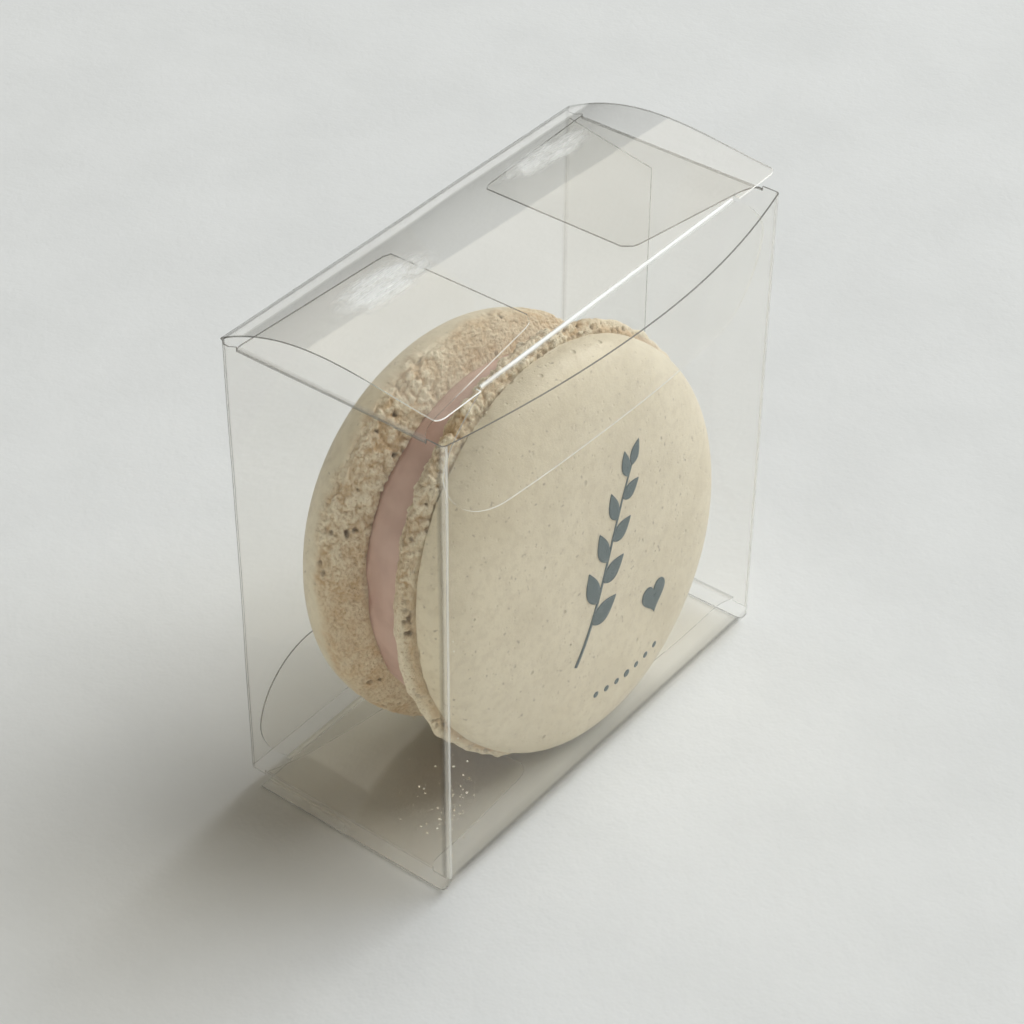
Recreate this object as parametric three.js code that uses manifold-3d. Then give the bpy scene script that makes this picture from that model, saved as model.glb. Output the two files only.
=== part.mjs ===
// A clear folded favour box with one macaron standing on edge inside it. Millimetres, +Z up.
// Every piece is built in the box frame: x from the left wall's outside to the right, y from the front
// wall's outside to the back, z up from the fold at the lower edge of the walls.
import * as THREE from "three";
import { mergeVertices } from "three/addons/utils/BufferGeometryUtils.js";
import Module from "manifold-3d";

// The walls, fold to fold, and the clear sheet that all of the box is folded from.
const box = { width: 50, depth: 25, height: 51, corner: 0.8 };
const film = 0.3;
const clearance = 0.3; // air left between pieces that touch
// The front wall's upper edge is pushed out by the tuck flap, most at bowPlace, and less lower down.
const front = { bow: 3, bowPlace: 27, bowFade: 2.5 };
// The lid rises from its crease to its front edge, and arches between them.
const lid = { rise: 2.2, arch: 2.3, archSkew: 0.75, archPower: 1.2, frontEdge: 0.65, earWidth: 5.7 };
// The tuck flap hangs from a crease between the lid's two ears, and widens below it.
const tuck = { depth: 13.4, foldFrom: 6.2, foldTo: 43.4, foldY: 1.25, bend: 0.5, sideGap: 0.9 };
const tuckWidening = 7;
const tuckCorner = 8;
const tuckStandOff = 0.75; // from the front wall's inside to the flap's lower edge
// The dust flaps fold in from the narrow walls, under the lid and over the bottom.
const dust = { length: 18.1, rootFront: 2.4, rootBack: 23.1, tipFront: 4.4, tipBack: 21, rise: 1.35 };
const dustBend = 0.6;
const dustHem = 1.6; // how far down the wall a flap's own sheet starts
const bottomDustSag = 1.65;
// The bottom hangs below the walls, lies flat, and tucks up inside the back wall.
const bottom = { drop: 2.1, frontSetback: 1.5, backEdge: 24.45, tuckHeight: 11.7, tuckY: 24.25 };
// The tab that closes the sleeve is glued inside the right wall, in the back corner.
const glueTab = { width: 10.5, topAtCorner: 50.2, topAtEdge: 48.3, foot: 1.5 };

// The macaron leans back a little. Each half has its own place, turn about Z and tilt.
const lean = THREE.MathUtils.degToRad(7.7);
const backHalf = {
  centre: new THREE.Vector3(24.95, 15.53, 19.94),
  turn: THREE.MathUtils.degToRad(-6.1),
  tilt: lean,
  radius: 20.9,
  dome: 7.0,
  rimAlong: -0.67, // where the shell meets its foot, along the axis that points to the front
};
const frontHalf = {
  centre: new THREE.Vector3(27.45, 15.05, 18.35),
  turn: THREE.MathUtils.degToRad(-2.2),
  tilt: lean + THREE.MathUtils.degToRad(0.8),
  radius: 21.05,
  dome: 6.6,
  rimAlong: 7.0,
};
const domePower = 3.4;
const rimPower = 2.13;
// Where the macaron stands on its foot, the foot is pressed flat at a distance from the axis. down is
// the sense of the local Y axis that points down.
const frontFoot = { depth: 2.3, radius: 22.2, inner: 20, fullness: 1, pressedTo: 20.55, down: -1 };
const backFoot = { depth: 2.25, radius: 20.8, inner: 17.6, fullness: 0.4, pressedTo: 20.5, down: 1 };
const footRuffle = 0.42;
const shellWave = 0.12;
const filling = { radius: 18.2, bulge: 0.35 };
const roundSteps = 96;

const wasm = await Module();
wasm.setup();

function solidFrom(geometry) {
  const bare = new THREE.BufferGeometry();
  bare.setAttribute("position", geometry.getAttribute("position"));
  bare.setIndex(geometry.index);
  const merged = mergeVertices(bare, 1e-4);
  return new wasm.Manifold(
    new wasm.Mesh({
      numProp: 3,
      vertProperties: new Float32Array(merged.getAttribute("position").array),
      triVerts: new Uint32Array(merged.index.array),
    }),
  );
}

function geometryFrom(solid) {
  const mesh = solid.getMesh();
  const geometry = new THREE.BufferGeometry();
  geometry.setAttribute("position", new THREE.BufferAttribute(mesh.vertProperties, 3));
  geometry.setIndex(new THREE.BufferAttribute(mesh.triVerts, 1));
  geometry.computeVertexNormals();
  return geometry;
}

const evenPlaces = (steps) => Array.from({ length: steps + 1 }, (_, i) => i / steps);

// Places from 0 to 1 down a flap: close together in its bend and in its rounded corners.
function flapPlaces(length, bendFrom, bendTo, cornerReach) {
  const list = [0];
  const addEven = (to, steps) => {
    const from = list[list.length - 1];
    for (let k = 1; k <= steps; k += 1) list.push(from + ((to - from) * k) / steps);
  };
  if (bendFrom > 0) addEven(bendFrom, 1);
  addEven(bendTo, 4);
  addEven(length - cornerReach, 4);
  for (let k = 1; k <= 5; k += 1) {
    list.push(length - cornerReach + cornerReach * Math.sin(((k / 5) * Math.PI) / 2));
  }
  return list.map((distance) => distance / length);
}

// A closed sheet whose middle surface is point(u, v), at the places given from 0 to 1, thick along its
// own normals. The first side faces along du x dv. A sheet that wraps closes on itself in u.
function sheetGeometry(point, uPlaces, vPlaces, thickness, wraps = false) {
  const step = 1e-4;
  const columns = uPlaces.length - 1;
  const rows = vPlaces.length - 1;
  const across = wraps ? columns : columns + 1;
  const positions = [[], []];
  const inRange = (value) => Math.min(1, Math.max(0, value));
  for (let i = 0; i < across; i += 1) {
    for (let j = 0; j <= rows; j += 1) {
      const u = uPlaces[i];
      const v = vPlaces[j];
      const along = wraps
        ? point((u + step) % 1, v).sub(point((u - step + 1) % 1, v))
        : point(inRange(u + step), v).sub(point(inRange(u - step), v));
      const up = point(u, inRange(v + step)).sub(point(u, inRange(v - step)));
      const normal = along.cross(up).normalize();
      const middle = point(u, v);
      positions[0].push(middle.clone().addScaledVector(normal, thickness / 2));
      positions[1].push(middle.clone().addScaledVector(normal, -thickness / 2));
    }
  }
  const count = positions[0].length;
  const at = (side, i, j) => side * count + (i % across) * (rows + 1) + j;
  const indices = [];
  const quad = (a, b, c, d) => indices.push(a, b, c, a, c, d);
  for (let i = 0; i < columns; i += 1) {
    for (let j = 0; j < rows; j += 1) {
      quad(at(0, i, j), at(0, i + 1, j), at(0, i + 1, j + 1), at(0, i, j + 1));
      quad(at(1, i, j), at(1, i, j + 1), at(1, i + 1, j + 1), at(1, i + 1, j));
    }
    quad(at(0, i + 1, 0), at(0, i, 0), at(1, i, 0), at(1, i + 1, 0));
    quad(at(0, i, rows), at(0, i + 1, rows), at(1, i + 1, rows), at(1, i, rows));
  }
  if (!wraps) {
    for (let j = 0; j < rows; j += 1) {
      quad(at(0, 0, j), at(0, 0, j + 1), at(1, 0, j + 1), at(1, 0, j));
      quad(at(0, columns, j + 1), at(0, columns, j), at(1, columns, j), at(1, columns, j + 1));
    }
  }
  return indexedGeometry(positions.flat(), indices);
}

// A closed solid of revolution about local Z, through rings between two poles. ring(angle, row) gives
// the radius and height of a point, so that each ring may be uneven.
function roundGeometry(lowPole, highPole, rows, ring) {
  const points = [new THREE.Vector3(0, 0, lowPole), new THREE.Vector3(0, 0, highPole)];
  for (let row = 0; row < rows; row += 1) {
    for (let i = 0; i < roundSteps; i += 1) {
      const angle = (i / roundSteps) * 2 * Math.PI;
      const { r, z } = ring(angle, row);
      points.push(new THREE.Vector3(r * Math.cos(angle), r * Math.sin(angle), z));
    }
  }
  const at = (row, i) => 2 + row * roundSteps + (i % roundSteps);
  const indices = [];
  for (let i = 0; i < roundSteps; i += 1) {
    indices.push(0, at(0, i + 1), at(0, i));
    for (let row = 0; row + 1 < rows; row += 1) {
      indices.push(at(row, i), at(row, i + 1), at(row + 1, i + 1));
      indices.push(at(row, i), at(row + 1, i + 1), at(row + 1, i));
    }
    indices.push(at(rows - 1, i), at(rows - 1, i + 1), 1);
  }
  return indexedGeometry(points, indices);
}

function indexedGeometry(points, indices) {
  const geometry = new THREE.BufferGeometry().setFromPoints(points);
  geometry.setIndex(indices);
  geometry.computeVertexNormals();
  return geometry;
}

// A path of straight stretches and quarter-like bends through corner points, rounded by a radius.
function roundedPath(corners, radius) {
  const path = new THREE.CurvePath();
  let from = corners[0];
  for (let i = 1; i + 1 < corners.length; i += 1) {
    const reach = Math.min(
      radius,
      corners[i].distanceTo(corners[i - 1]) / 2,
      corners[i].distanceTo(corners[i + 1]) / 2,
    );
    const before = corners[i].clone().lerp(corners[i - 1], reach / corners[i].distanceTo(corners[i - 1]));
    const after = corners[i].clone().lerp(corners[i + 1], reach / corners[i].distanceTo(corners[i + 1]));
    path.add(new THREE.LineCurve(from, before));
    path.add(new THREE.QuadraticBezierCurve(before, corners[i], after));
    from = after;
  }
  path.add(new THREE.LineCurve(from, corners[corners.length - 1]));
  return path;
}

// How far the front wall stands out at a place along it and a height up it.
function frontBow(x, z) {
  const reach = x < front.bowPlace ? front.bowPlace - box.corner : box.width - box.corner - front.bowPlace;
  const hump = Math.max(0, 1 - ((x - front.bowPlace) / reach) ** 2);
  return front.bow * hump * Math.max(0, z / box.height) ** front.bowFade;
}

// The outline of the four walls seen from above, at the middle of the film, anticlockwise from the
// front left corner. Each stretch has its own number of steps.
const inset = film / 2;
const wallStretches = [
  { steps: 14, at: (s) => [box.corner + s * (box.width - 2 * box.corner), inset] },
  { steps: 3, at: cornerArc(box.width - box.corner, box.corner, -Math.PI / 2) },
  { steps: 3, at: (s) => [box.width - inset, box.corner + s * (box.depth - 2 * box.corner)] },
  { steps: 3, at: cornerArc(box.width - box.corner, box.depth - box.corner, 0) },
  { steps: 4, at: (s) => [box.width - box.corner - s * (box.width - 2 * box.corner), box.depth - inset] },
  { steps: 3, at: cornerArc(box.corner, box.depth - box.corner, Math.PI / 2) },
  { steps: 3, at: (s) => [inset, box.depth - box.corner - s * (box.depth - 2 * box.corner)] },
  { steps: 3, at: cornerArc(box.corner, box.corner, Math.PI) },
];
const wallSteps = wallStretches.reduce((sum, stretch) => sum + stretch.steps, 0);
const wallRows = 7;

function cornerArc(x, y, start) {
  const radius = box.corner - inset;
  return (s) => {
    const angle = start + (s * Math.PI) / 2;
    return [x + radius * Math.cos(angle), y + radius * Math.sin(angle)];
  };
}

function wallPoint(u, v) {
  let place = u * wallSteps;
  let index = 0;
  while (place > wallStretches[index].steps && index + 1 < wallStretches.length) {
    place -= wallStretches[index].steps;
    index += 1;
  }
  const [x, y] = wallStretches[index].at(place / wallStretches[index].steps);
  const backLowering = clearance * Math.max(0, (y - box.depth + box.corner) / box.corner);
  const z = v * (box.height - backLowering);
  return new THREE.Vector3(x, index === 0 ? y - frontBow(x, z) : y, z);
}

const topDustProfile = [
  new THREE.Vector2(0, box.height - inset - dustHem),
  new THREE.Vector2(0, box.height - inset),
  new THREE.Vector2(dust.length, box.height - inset + dust.rise),
];
const bottomDustProfile = [
  new THREE.Vector2(0, inset + dustHem),
  new THREE.Vector2(0, inset),
  new THREE.Vector2(dust.length * 0.45, inset - bottomDustSag * 0.85),
  new THREE.Vector2(dust.length, inset - bottomDustSag),
];

// A dust flap: out of a narrow wall's edge, round the crease and in across the box. towards is 1 for
// the left wall's flaps and -1 for the right wall's, and outer is 1 at the top and -1 at the bottom.
function dustFlapSheet(profile, wallX, towards, outer) {
  const path = roundedPath(profile, dustBend);
  const point = (u, v) => {
    const at = path.getPointAt(v);
    const reach = at.x / dust.length;
    const nose = Math.max(0, at.x - (dust.length - 1.5)) / 1.5;
    const rounding = 1.2 * (1 - Math.sqrt(1 - Math.min(1, nose) ** 2 * 0.98));
    const frontEdge = THREE.MathUtils.lerp(dust.rootFront, dust.tipFront, reach) + rounding;
    const backEdge = THREE.MathUtils.lerp(dust.rootBack, dust.tipBack, reach) - rounding * 0.3;
    const y = THREE.MathUtils.lerp(frontEdge, backEdge, towards * outer > 0 ? u : 1 - u);
    return new THREE.Vector3(wallX + towards * at.x, y, at.y);
  };
  const places = flapPlaces(path.getLength(), dustHem - dustBend, dustHem + dustBend, 1.5);
  return sheetGeometry(point, evenPlaces(4), places, film * 0.9);
}

// The half width of a tuck flap at a distance below its crease: it widens, and its corners are round.
function tuckSides(distance, length) {
  const widening = Math.min(1, distance / tuckWidening);
  const ease = 1 - (1 - widening) ** 2;
  const intoCorner = Math.max(0, distance - (length - tuckCorner)) / tuckCorner;
  const rounding = tuckCorner * (1 - Math.sqrt(Math.max(0, 1 - Math.min(1, intoCorner) ** 2 * 0.995)));
  return {
    left: THREE.MathUtils.lerp(tuck.foldFrom, tuck.sideGap, ease) + rounding,
    right: THREE.MathUtils.lerp(tuck.foldTo, box.width - tuck.sideGap, ease) - rounding,
  };
}

const panelFilm = film * 0.96;

// The bottom: a slanted strip from the front wall's lower edge, then the panel that lies flat.
function bottomPanelSheet() {
  const flat = -bottom.drop + panelFilm / 2;
  const path = roundedPath(
    [
      new THREE.Vector2(inset, 1.4),
      new THREE.Vector2(inset, -0.2),
      new THREE.Vector2(bottom.frontSetback * 0.45, flat + 0.35),
      new THREE.Vector2(bottom.frontSetback + 0.6, flat),
      new THREE.Vector2(bottom.backEdge, flat),
    ],
    0.9,
  );
  const point = (u, v) => {
    const at = path.getPointAt(v);
    const side = at.y > -0.3 ? box.corner * 1.2 : inset;
    return new THREE.Vector3(THREE.MathUtils.lerp(side, box.width - side, u), at.x, at.y);
  };
  const places = flapPlaces(path.getLength(), 1, 6, 1);
  return sheetGeometry(point, evenPlaces(2), places, panelFilm);
}

// The bottom's own tuck flap, out of the panel's back part, round the crease and up the back wall.
function bottomTuckSheet() {
  const flat = -bottom.drop + inset;
  const start = bottom.backEdge - 1.6;
  const path = roundedPath(
    [
      new THREE.Vector2(start, flat + 0.02),
      new THREE.Vector2(bottom.tuckY, flat + 0.02),
      new THREE.Vector2(bottom.tuckY, bottom.tuckHeight),
    ],
    tuck.bend,
  );
  const bendEnd = bottom.tuckY - start + 0.3;
  const length = path.getLength();
  const point = (u, v) => {
    const at = path.getPointAt(v);
    const sides = tuckSides(Math.max(0, v * length - bendEnd), length - bendEnd);
    return new THREE.Vector3(THREE.MathUtils.lerp(sides.left, sides.right, u), at.x, at.y);
  };
  const places = flapPlaces(length, bendEnd - 2 * tuck.bend, bendEnd, tuckCorner);
  return sheetGeometry(point, evenPlaces(4), places, film * 0.9);
}

// The tab inside the right wall, with its upper edge cut at a slant.
function glueTabSheet() {
  const point = (u, v) => {
    const y = box.depth - film - 0.1 - u * (glueTab.width - film);
    const top = THREE.MathUtils.lerp(glueTab.topAtCorner, glueTab.topAtEdge, u);
    return new THREE.Vector3(box.width - film - inset * 0.6, y, THREE.MathUtils.lerp(glueTab.foot, top, v));
  };
  return sheetGeometry(point, evenPlaces(1), evenPlaces(2), film * 0.9);
}

function sleeveGeometry() {
  const pieces = [
    dustFlapSheet(topDustProfile, inset, 1, 1),
    dustFlapSheet(topDustProfile, box.width - inset, -1, 1),
    dustFlapSheet(bottomDustProfile, inset, 1, -1),
    dustFlapSheet(bottomDustProfile, box.width - inset, -1, -1),
    bottomPanelSheet(),
    bottomTuckSheet(),
    glueTabSheet(),
  ];
  const walls = solidFrom(sheetGeometry(wallPoint, evenPlaces(wallSteps), evenPlaces(wallRows), film, true));
  return geometryFrom(pieces.reduce((sum, piece) => sum.add(solidFrom(piece)), walls));
}

// The lid's height at a share of the way from its crease to its front edge.
function lidHeight(share) {
  const arch = Math.sin(Math.PI * share ** lid.archSkew) ** lid.archPower;
  return box.height + lid.rise * share + lid.arch * arch;
}

const lidCrease = { y: box.depth - inset, z: box.height };
const lidStart = 0.02; // the share of the way at which the lid's own solid starts, clear of the crease

function lidPoint(u, v) {
  const share = THREE.MathUtils.lerp(lidStart, 1, v);
  const y = THREE.MathUtils.lerp(box.depth, lid.frontEdge, share);
  const nose = Math.max(0, share - 0.955) / 0.045;
  const rounding = 1.1 * (1 - Math.sqrt(1 - 0.98 * Math.min(1, nose) ** 2));
  const side = inset + rounding;
  return new THREE.Vector3(THREE.MathUtils.lerp(box.width - side, side, u), y, lidHeight(share) + 0.05);
}

// The lid, cut back between its ears where the crease of the tuck flap is.
function lidGeometry() {
  const rows = flapPlaces(1, 0, 0.12, 0.045);
  const panel = solidFrom(sheetGeometry(lidPoint, evenPlaces(4), rows, film));
  const from = lid.earWidth;
  const to = tuck.foldTo + clearance + 0.2;
  const reach = tuck.foldY + clearance;
  const cut = new THREE.BoxGeometry(to - from, reach + 2, 8);
  cut.translate((from + to) / 2, (reach - 2) / 2, box.height + 2);
  return geometryFrom(panel.subtract(solidFrom(cut)));
}

const tuckFoldZ = lidHeight((box.depth - tuck.foldY) / (box.depth - lid.frontEdge)) + 0.05;

// The tuck flap: round the crease, then down inside the front wall, which it follows at its lower edge.
function tuckGeometry() {
  const hangingY = tuck.foldY - 0.5;
  const point = (u, v) => {
    const distance = v * tuck.depth;
    const sides = tuckSides(Math.max(0, distance - 1), tuck.depth - 1);
    const x = THREE.MathUtils.lerp(sides.left, sides.right, u);
    const lowY = film + tuckStandOff + inset - frontBow(x, tuckFoldZ - tuck.depth);
    const bend = Math.min(1, distance / 1.2);
    const round = Math.sqrt(1 - (1 - bend) ** 2);
    const downShare = Math.max(0, distance - 1.2) / (tuck.depth - 1.2);
    const y = THREE.MathUtils.lerp(
      THREE.MathUtils.lerp(tuck.foldY, hangingY, bend ** 0.6),
      lowY,
      downShare,
    );
    const z = tuckFoldZ - 0.75 * (1 - Math.sqrt(1 - bend ** 2 * 0.999)) - Math.max(0, distance - 1.2);
    return new THREE.Vector3(x, y, round > 0 ? z : tuckFoldZ);
  };
  return sheetGeometry(point, evenPlaces(10), flapPlaces(tuck.depth, 0, 1.2, tuckCorner), film);
}

// Uneven edges: a few waves round the rim with fixed phases, between about -1 and 1.
function ruffle(angle, seed) {
  const waves = [5, 9, 14, 23, 31];
  const heights = [0.25, 0.25, 0.3, 0.25, 0.2];
  return waves.reduce((sum, wave, i) => sum + heights[i] * Math.sin(wave * angle + seed * (i + 1.7)), 0);
}

// A shell with its foot, about local Z. The rim where they meet is at height 0 and the dome above it.
function halfGeometry(half, foot, seed) {
  const underside = -foot.depth;
  const domeRows = 9;
  // From the underside's edge out to the foot's widest ring, on a way between a cone and a round.
  const flank = (share) => ({
    r: THREE.MathUtils.lerp(foot.inner, foot.radius, share),
    z: underside * THREE.MathUtils.lerp(1 - share, Math.sqrt(1 - share ** 2), foot.fullness),
    rough: Math.min(1, 0.3 + 1.5 * share),
  });
  const footRings = [
    { r: foot.inner * 0.5, z: underside, rough: 0 },
    flank(0),
    flank(0.35),
    flank(0.7),
    flank(0.95),
    { r: foot.radius - 0.15, z: -0.05, rough: 0.5 },
    { r: half.radius - 0.25, z: 0.2, rough: 0.15 },
  ];
  const ring = (angle, row) => {
    if (row < footRings.length) {
      const { r, z, rough } = footRings[row];
      const uneven = r + footRuffle * rough * ruffle(angle, seed + row * 0.35);
      const standsAt = foot.pressedTo / Math.max(0.5, foot.down * Math.sin(angle));
      return {
        r: Math.min(uneven, standsAt),
        z: z + 0.3 * rough * ruffle(angle, seed * 2.3 + row * 0.2),
      };
    }
    const share = (row - footRings.length + 0.8) / domeRows;
    const t = Math.sin(share * 0.985 * (Math.PI / 2));
    const wave = shellWave * Math.sin(2 * angle + seed) * Math.cos((share * Math.PI) / 2);
    return {
      r: half.radius * (1 - t ** domePower) ** (1 / rimPower) + wave,
      z: half.dome * t,
    };
  };
  return roundGeometry(underside, half.dome, footRings.length + domeRows, ring);
}

// The way from the macaron's middle to the front, along a half's axis.
function axisOf(half) {
  return new THREE.Vector3(
    Math.sin(half.turn) * Math.cos(half.tilt),
    -Math.cos(half.turn) * Math.cos(half.tilt),
    Math.sin(half.tilt),
  );
}

// The filling: a disc between the two inner faces, which aren't parallel, so its edge is a wedge.
function fillingGeometry() {
  const backAxis = axisOf(backHalf);
  const frontAxis = axisOf(frontHalf);
  const backOrigin = backHalf.centre
    .clone()
    .addScaledVector(backAxis, backHalf.rimAlong + backFoot.depth + clearance + 0.15);
  const frontOrigin = frontHalf.centre
    .clone()
    .addScaledVector(frontAxis, frontHalf.rimAlong - frontFoot.depth - clearance - 0.15);
  const middle = backHalf.centre.clone().lerp(frontHalf.centre, 0.4);
  const side = new THREE.Vector3(Math.cos(backHalf.turn), Math.sin(backHalf.turn), 0);
  const up = new THREE.Vector3().crossVectors(backAxis, side).normalize();
  const place = (angle, radius, share) => {
    const spoke = middle
      .clone()
      .addScaledVector(side, radius * Math.cos(angle))
      .addScaledVector(up, radius * Math.sin(angle));
    const toBack = backOrigin.clone().sub(spoke).dot(backAxis) / backAxis.dot(backAxis);
    const toFront = frontOrigin.clone().sub(spoke).dot(frontAxis) / backAxis.dot(frontAxis);
    return spoke.addScaledVector(backAxis, THREE.MathUtils.lerp(toBack, toFront, share));
  };
  const rings = [
    { radius: 0.5, share: 0, bulge: 0 },
    { radius: 1, share: 0, bulge: 0 },
    { radius: 1, share: 0.3, bulge: 1 },
    { radius: 1, share: 0.7, bulge: 1 },
    { radius: 1, share: 1, bulge: 0 },
    { radius: 0.5, share: 1, bulge: 0 },
  ];
  const points = [place(0, 0, 0), place(0, 0, 1)];
  for (const { radius, share, bulge } of rings) {
    for (let i = 0; i < roundSteps; i += 1) {
      const angle = (i / roundSteps) * 2 * Math.PI;
      const uneven = 0.25 * Math.sin(3 * angle + 1) + 0.15 * Math.sin(7 * angle + 2);
      points.push(place(angle, filling.radius * radius + filling.bulge * bulge + uneven * radius, share));
    }
  }
  const at = (row, i) => 2 + row * roundSteps + (i % roundSteps);
  const indices = [];
  for (let i = 0; i < roundSteps; i += 1) {
    indices.push(0, at(0, i + 1), at(0, i));
    for (let row = 0; row + 1 < rings.length; row += 1) {
      indices.push(at(row, i), at(row, i + 1), at(row + 1, i + 1));
      indices.push(at(row, i), at(row + 1, i + 1), at(row + 1, i));
    }
    indices.push(at(rings.length - 1, i), at(rings.length - 1, i + 1), 1);
  }
  return indexedGeometry(points, indices);
}

const clearFilm = { color: 0xdfe3e6, roughness: 0.08, metalness: 0, transparent: true, opacity: 0.3 };
const creamShell = { color: 0xe3d8c0, roughness: 0.6, metalness: 0 };
const pinkCream = { color: 0xb98d86, roughness: 0.55, metalness: 0 };

function pieceMesh(name, geometry, finish) {
  const mesh = new THREE.Mesh(geometry, new THREE.MeshStandardMaterial(finish));
  mesh.name = name;
  return mesh;
}

// A half is turned so that its dome faces away from the filling, then tilted and turned about Z.
function placedHalf(name, half, foot, seed, facesFront) {
  const mesh = pieceMesh(name, halfGeometry(half, foot, seed), creamShell);
  const holder = new THREE.Group();
  holder.position.copy(half.centre);
  const quarter = Math.PI / 2;
  holder.rotation.set(facesFront ? quarter - half.tilt : -quarter - half.tilt, 0, half.turn, "ZXY");
  mesh.position.z = facesFront ? half.rimAlong : -half.rimAlong;
  holder.add(mesh);
  return holder;
}

const favourBox = new THREE.Group();
favourBox.add(pieceMesh("sleeve", sleeveGeometry(), clearFilm));
favourBox.add(pieceMesh("lid_panel", lidGeometry(), clearFilm));
favourBox.add(pieceMesh("tuck_flap", tuckGeometry(), clearFilm));
favourBox.add(placedHalf("shell_front", frontHalf, frontFoot, 1.3, true));
favourBox.add(placedHalf("shell_back", backHalf, backFoot, 4.1, false));
favourBox.add(pieceMesh("filling", fillingGeometry(), pinkCream));

// The part's own frame has its origin under the middle of the whole, on the surface it stands on.
favourBox.position.set(-box.width / 2, -(box.depth - front.bow) / 2, bottom.drop);

export default favourBox;
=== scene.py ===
import math

import bpy
import numpy as np
from mathutils import Matrix, Vector


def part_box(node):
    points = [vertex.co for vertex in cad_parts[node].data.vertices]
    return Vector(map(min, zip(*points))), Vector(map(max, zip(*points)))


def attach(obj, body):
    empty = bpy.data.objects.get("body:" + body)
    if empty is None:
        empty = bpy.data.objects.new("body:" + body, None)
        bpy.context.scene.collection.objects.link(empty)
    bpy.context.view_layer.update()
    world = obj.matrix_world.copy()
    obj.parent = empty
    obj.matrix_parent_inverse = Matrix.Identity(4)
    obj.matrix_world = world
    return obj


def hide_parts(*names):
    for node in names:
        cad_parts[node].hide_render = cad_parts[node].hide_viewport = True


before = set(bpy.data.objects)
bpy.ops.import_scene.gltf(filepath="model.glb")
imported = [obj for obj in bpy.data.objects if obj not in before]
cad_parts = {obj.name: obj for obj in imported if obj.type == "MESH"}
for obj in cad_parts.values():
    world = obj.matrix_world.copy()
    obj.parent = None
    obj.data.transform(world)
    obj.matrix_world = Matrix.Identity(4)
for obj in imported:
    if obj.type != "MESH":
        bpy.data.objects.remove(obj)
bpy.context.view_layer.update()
print("frame loaded:", sorted(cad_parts))

# All shapes below are worked out in millimetres in the box's own frame: x from the left wall's outside
# to the right, y from the front wall's outside to the back, z up from the walls' lower fold.
mm = 0.001
box = {
    "width": 50.0,
    "depth": 25.0,
    "height": 51.0,
    "film": 0.16,
    "corner": 0.5,  # outer radius of the four upright creases
    "drop": 2.1,  # the bottom panel's underside, below the walls' lower fold
}
inset = box["film"] / 2
sleeveLow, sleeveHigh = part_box("sleeve")
boxOrigin = np.array([sleeveLow.x, sleeveHigh.y - box["depth"] * mm, sleeveLow.z + box["drop"] * mm])


def smooth(low, high, value):
    # 3t^2 - 2t^3 with t = (value - low) / (high - low), held to 0..1
    t = np.clip((value - low) / (high - low), 0, 1)
    return t * t * (3 - 2 * t)


def lerp(a, b, t):
    return a + (b - a) * t


# Noise worked out on whole arrays of points

def hashNoise(cell, seed):
    # a number from 0 to 1 for each whole-numbered cell, from its coordinates' mixed bits
    mixed = cell[..., 0] * 73856093 ^ cell[..., 1] * 19349663 ^ cell[..., 2] * 83492791 ^ seed * 26544357
    mixed = (mixed ^ (mixed >> 13)) * 1274126177 & 0x7FFFFFFF
    mixed = (mixed ^ (mixed >> 15)) * 668265263 & 0x7FFFFFFF
    return (mixed ^ (mixed >> 14)) / 0x7FFFFFFF


def softNoise(points, cellSize, seed):
    # values at the corners of a cube lattice, joined by 6t^5 - 15t^4 + 10t^3, from -1 to 1
    place = points / cellSize
    base = np.floor(place).astype(np.int64)
    part = place - base
    part = part**3 * (part * (part * 6 - 15) + 10)
    total = 0
    for corner in np.ndindex(2, 2, 2):
        weight = np.prod(np.where(corner, part, 1 - part), axis=-1)
        total = total + weight * hashNoise(base + np.array(corner), seed)
    return total * 2 - 1


def cellNoise(points, cellSize, seed):
    # one strewn point to a cube: the distance to the nearest, in cells, and that point's own number
    place = points / cellSize
    base = np.floor(place).astype(np.int64)
    nearest = np.full(place.shape[:-1], 9.0)
    own = np.zeros(place.shape[:-1])
    for step in np.ndindex(3, 3, 3):
        cell = base + np.array(step) - 1
        strewn = cell + np.stack([hashNoise(cell, seed + k) for k in range(3)], -1)
        distance = np.linalg.norm(place - strewn, axis=-1)
        own = np.where(distance < nearest, hashNoise(cell, seed + 7), own)
        nearest = np.minimum(nearest, distance)
    return nearest, own


# Meshes from arrays

def makePiece(name, points, quads, triangles, materials, body, attributes=None, finish=None):
    # points in millimetres in the box's frame; quads and triangles are rows of point numbers; finish
    # gives each face the number of its material
    mesh = bpy.data.meshes.new(name)
    quads = np.asarray(quads, np.int32).reshape(-1, 4)
    triangles = np.asarray(triangles, np.int32).reshape(-1, 3)
    loops = np.concatenate([quads.ravel(), triangles.ravel()])
    starts = np.concatenate([np.arange(len(quads)) * 4, len(quads) * 4 + np.arange(len(triangles)) * 3])
    mesh.vertices.add(len(points))
    mesh.vertices.foreach_set("co", (points * mm + boxOrigin).astype(np.float32).ravel())
    mesh.loops.add(len(loops))
    mesh.loops.foreach_set("vertex_index", loops)
    mesh.polygons.add(len(starts))
    mesh.polygons.foreach_set("loop_start", starts.astype(np.int32))
    mesh.polygons.foreach_set("use_smooth", np.ones(len(starts), bool))
    for material in materials:
        mesh.materials.append(material)
    if finish is not None:
        mesh.polygons.foreach_set("material_index", np.asarray(finish, np.int32))
    for key, values in (attributes or {}).items():
        attribute = mesh.attributes.new(key, "FLOAT", "POINT")
        attribute.data.foreach_set("value", np.asarray(values, np.float32).ravel())
    mesh.update(calc_edges=True)
    piece = bpy.data.objects.new(name, mesh)
    bpy.context.scene.collection.objects.link(piece)
    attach(piece, body)
    return piece


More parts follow.
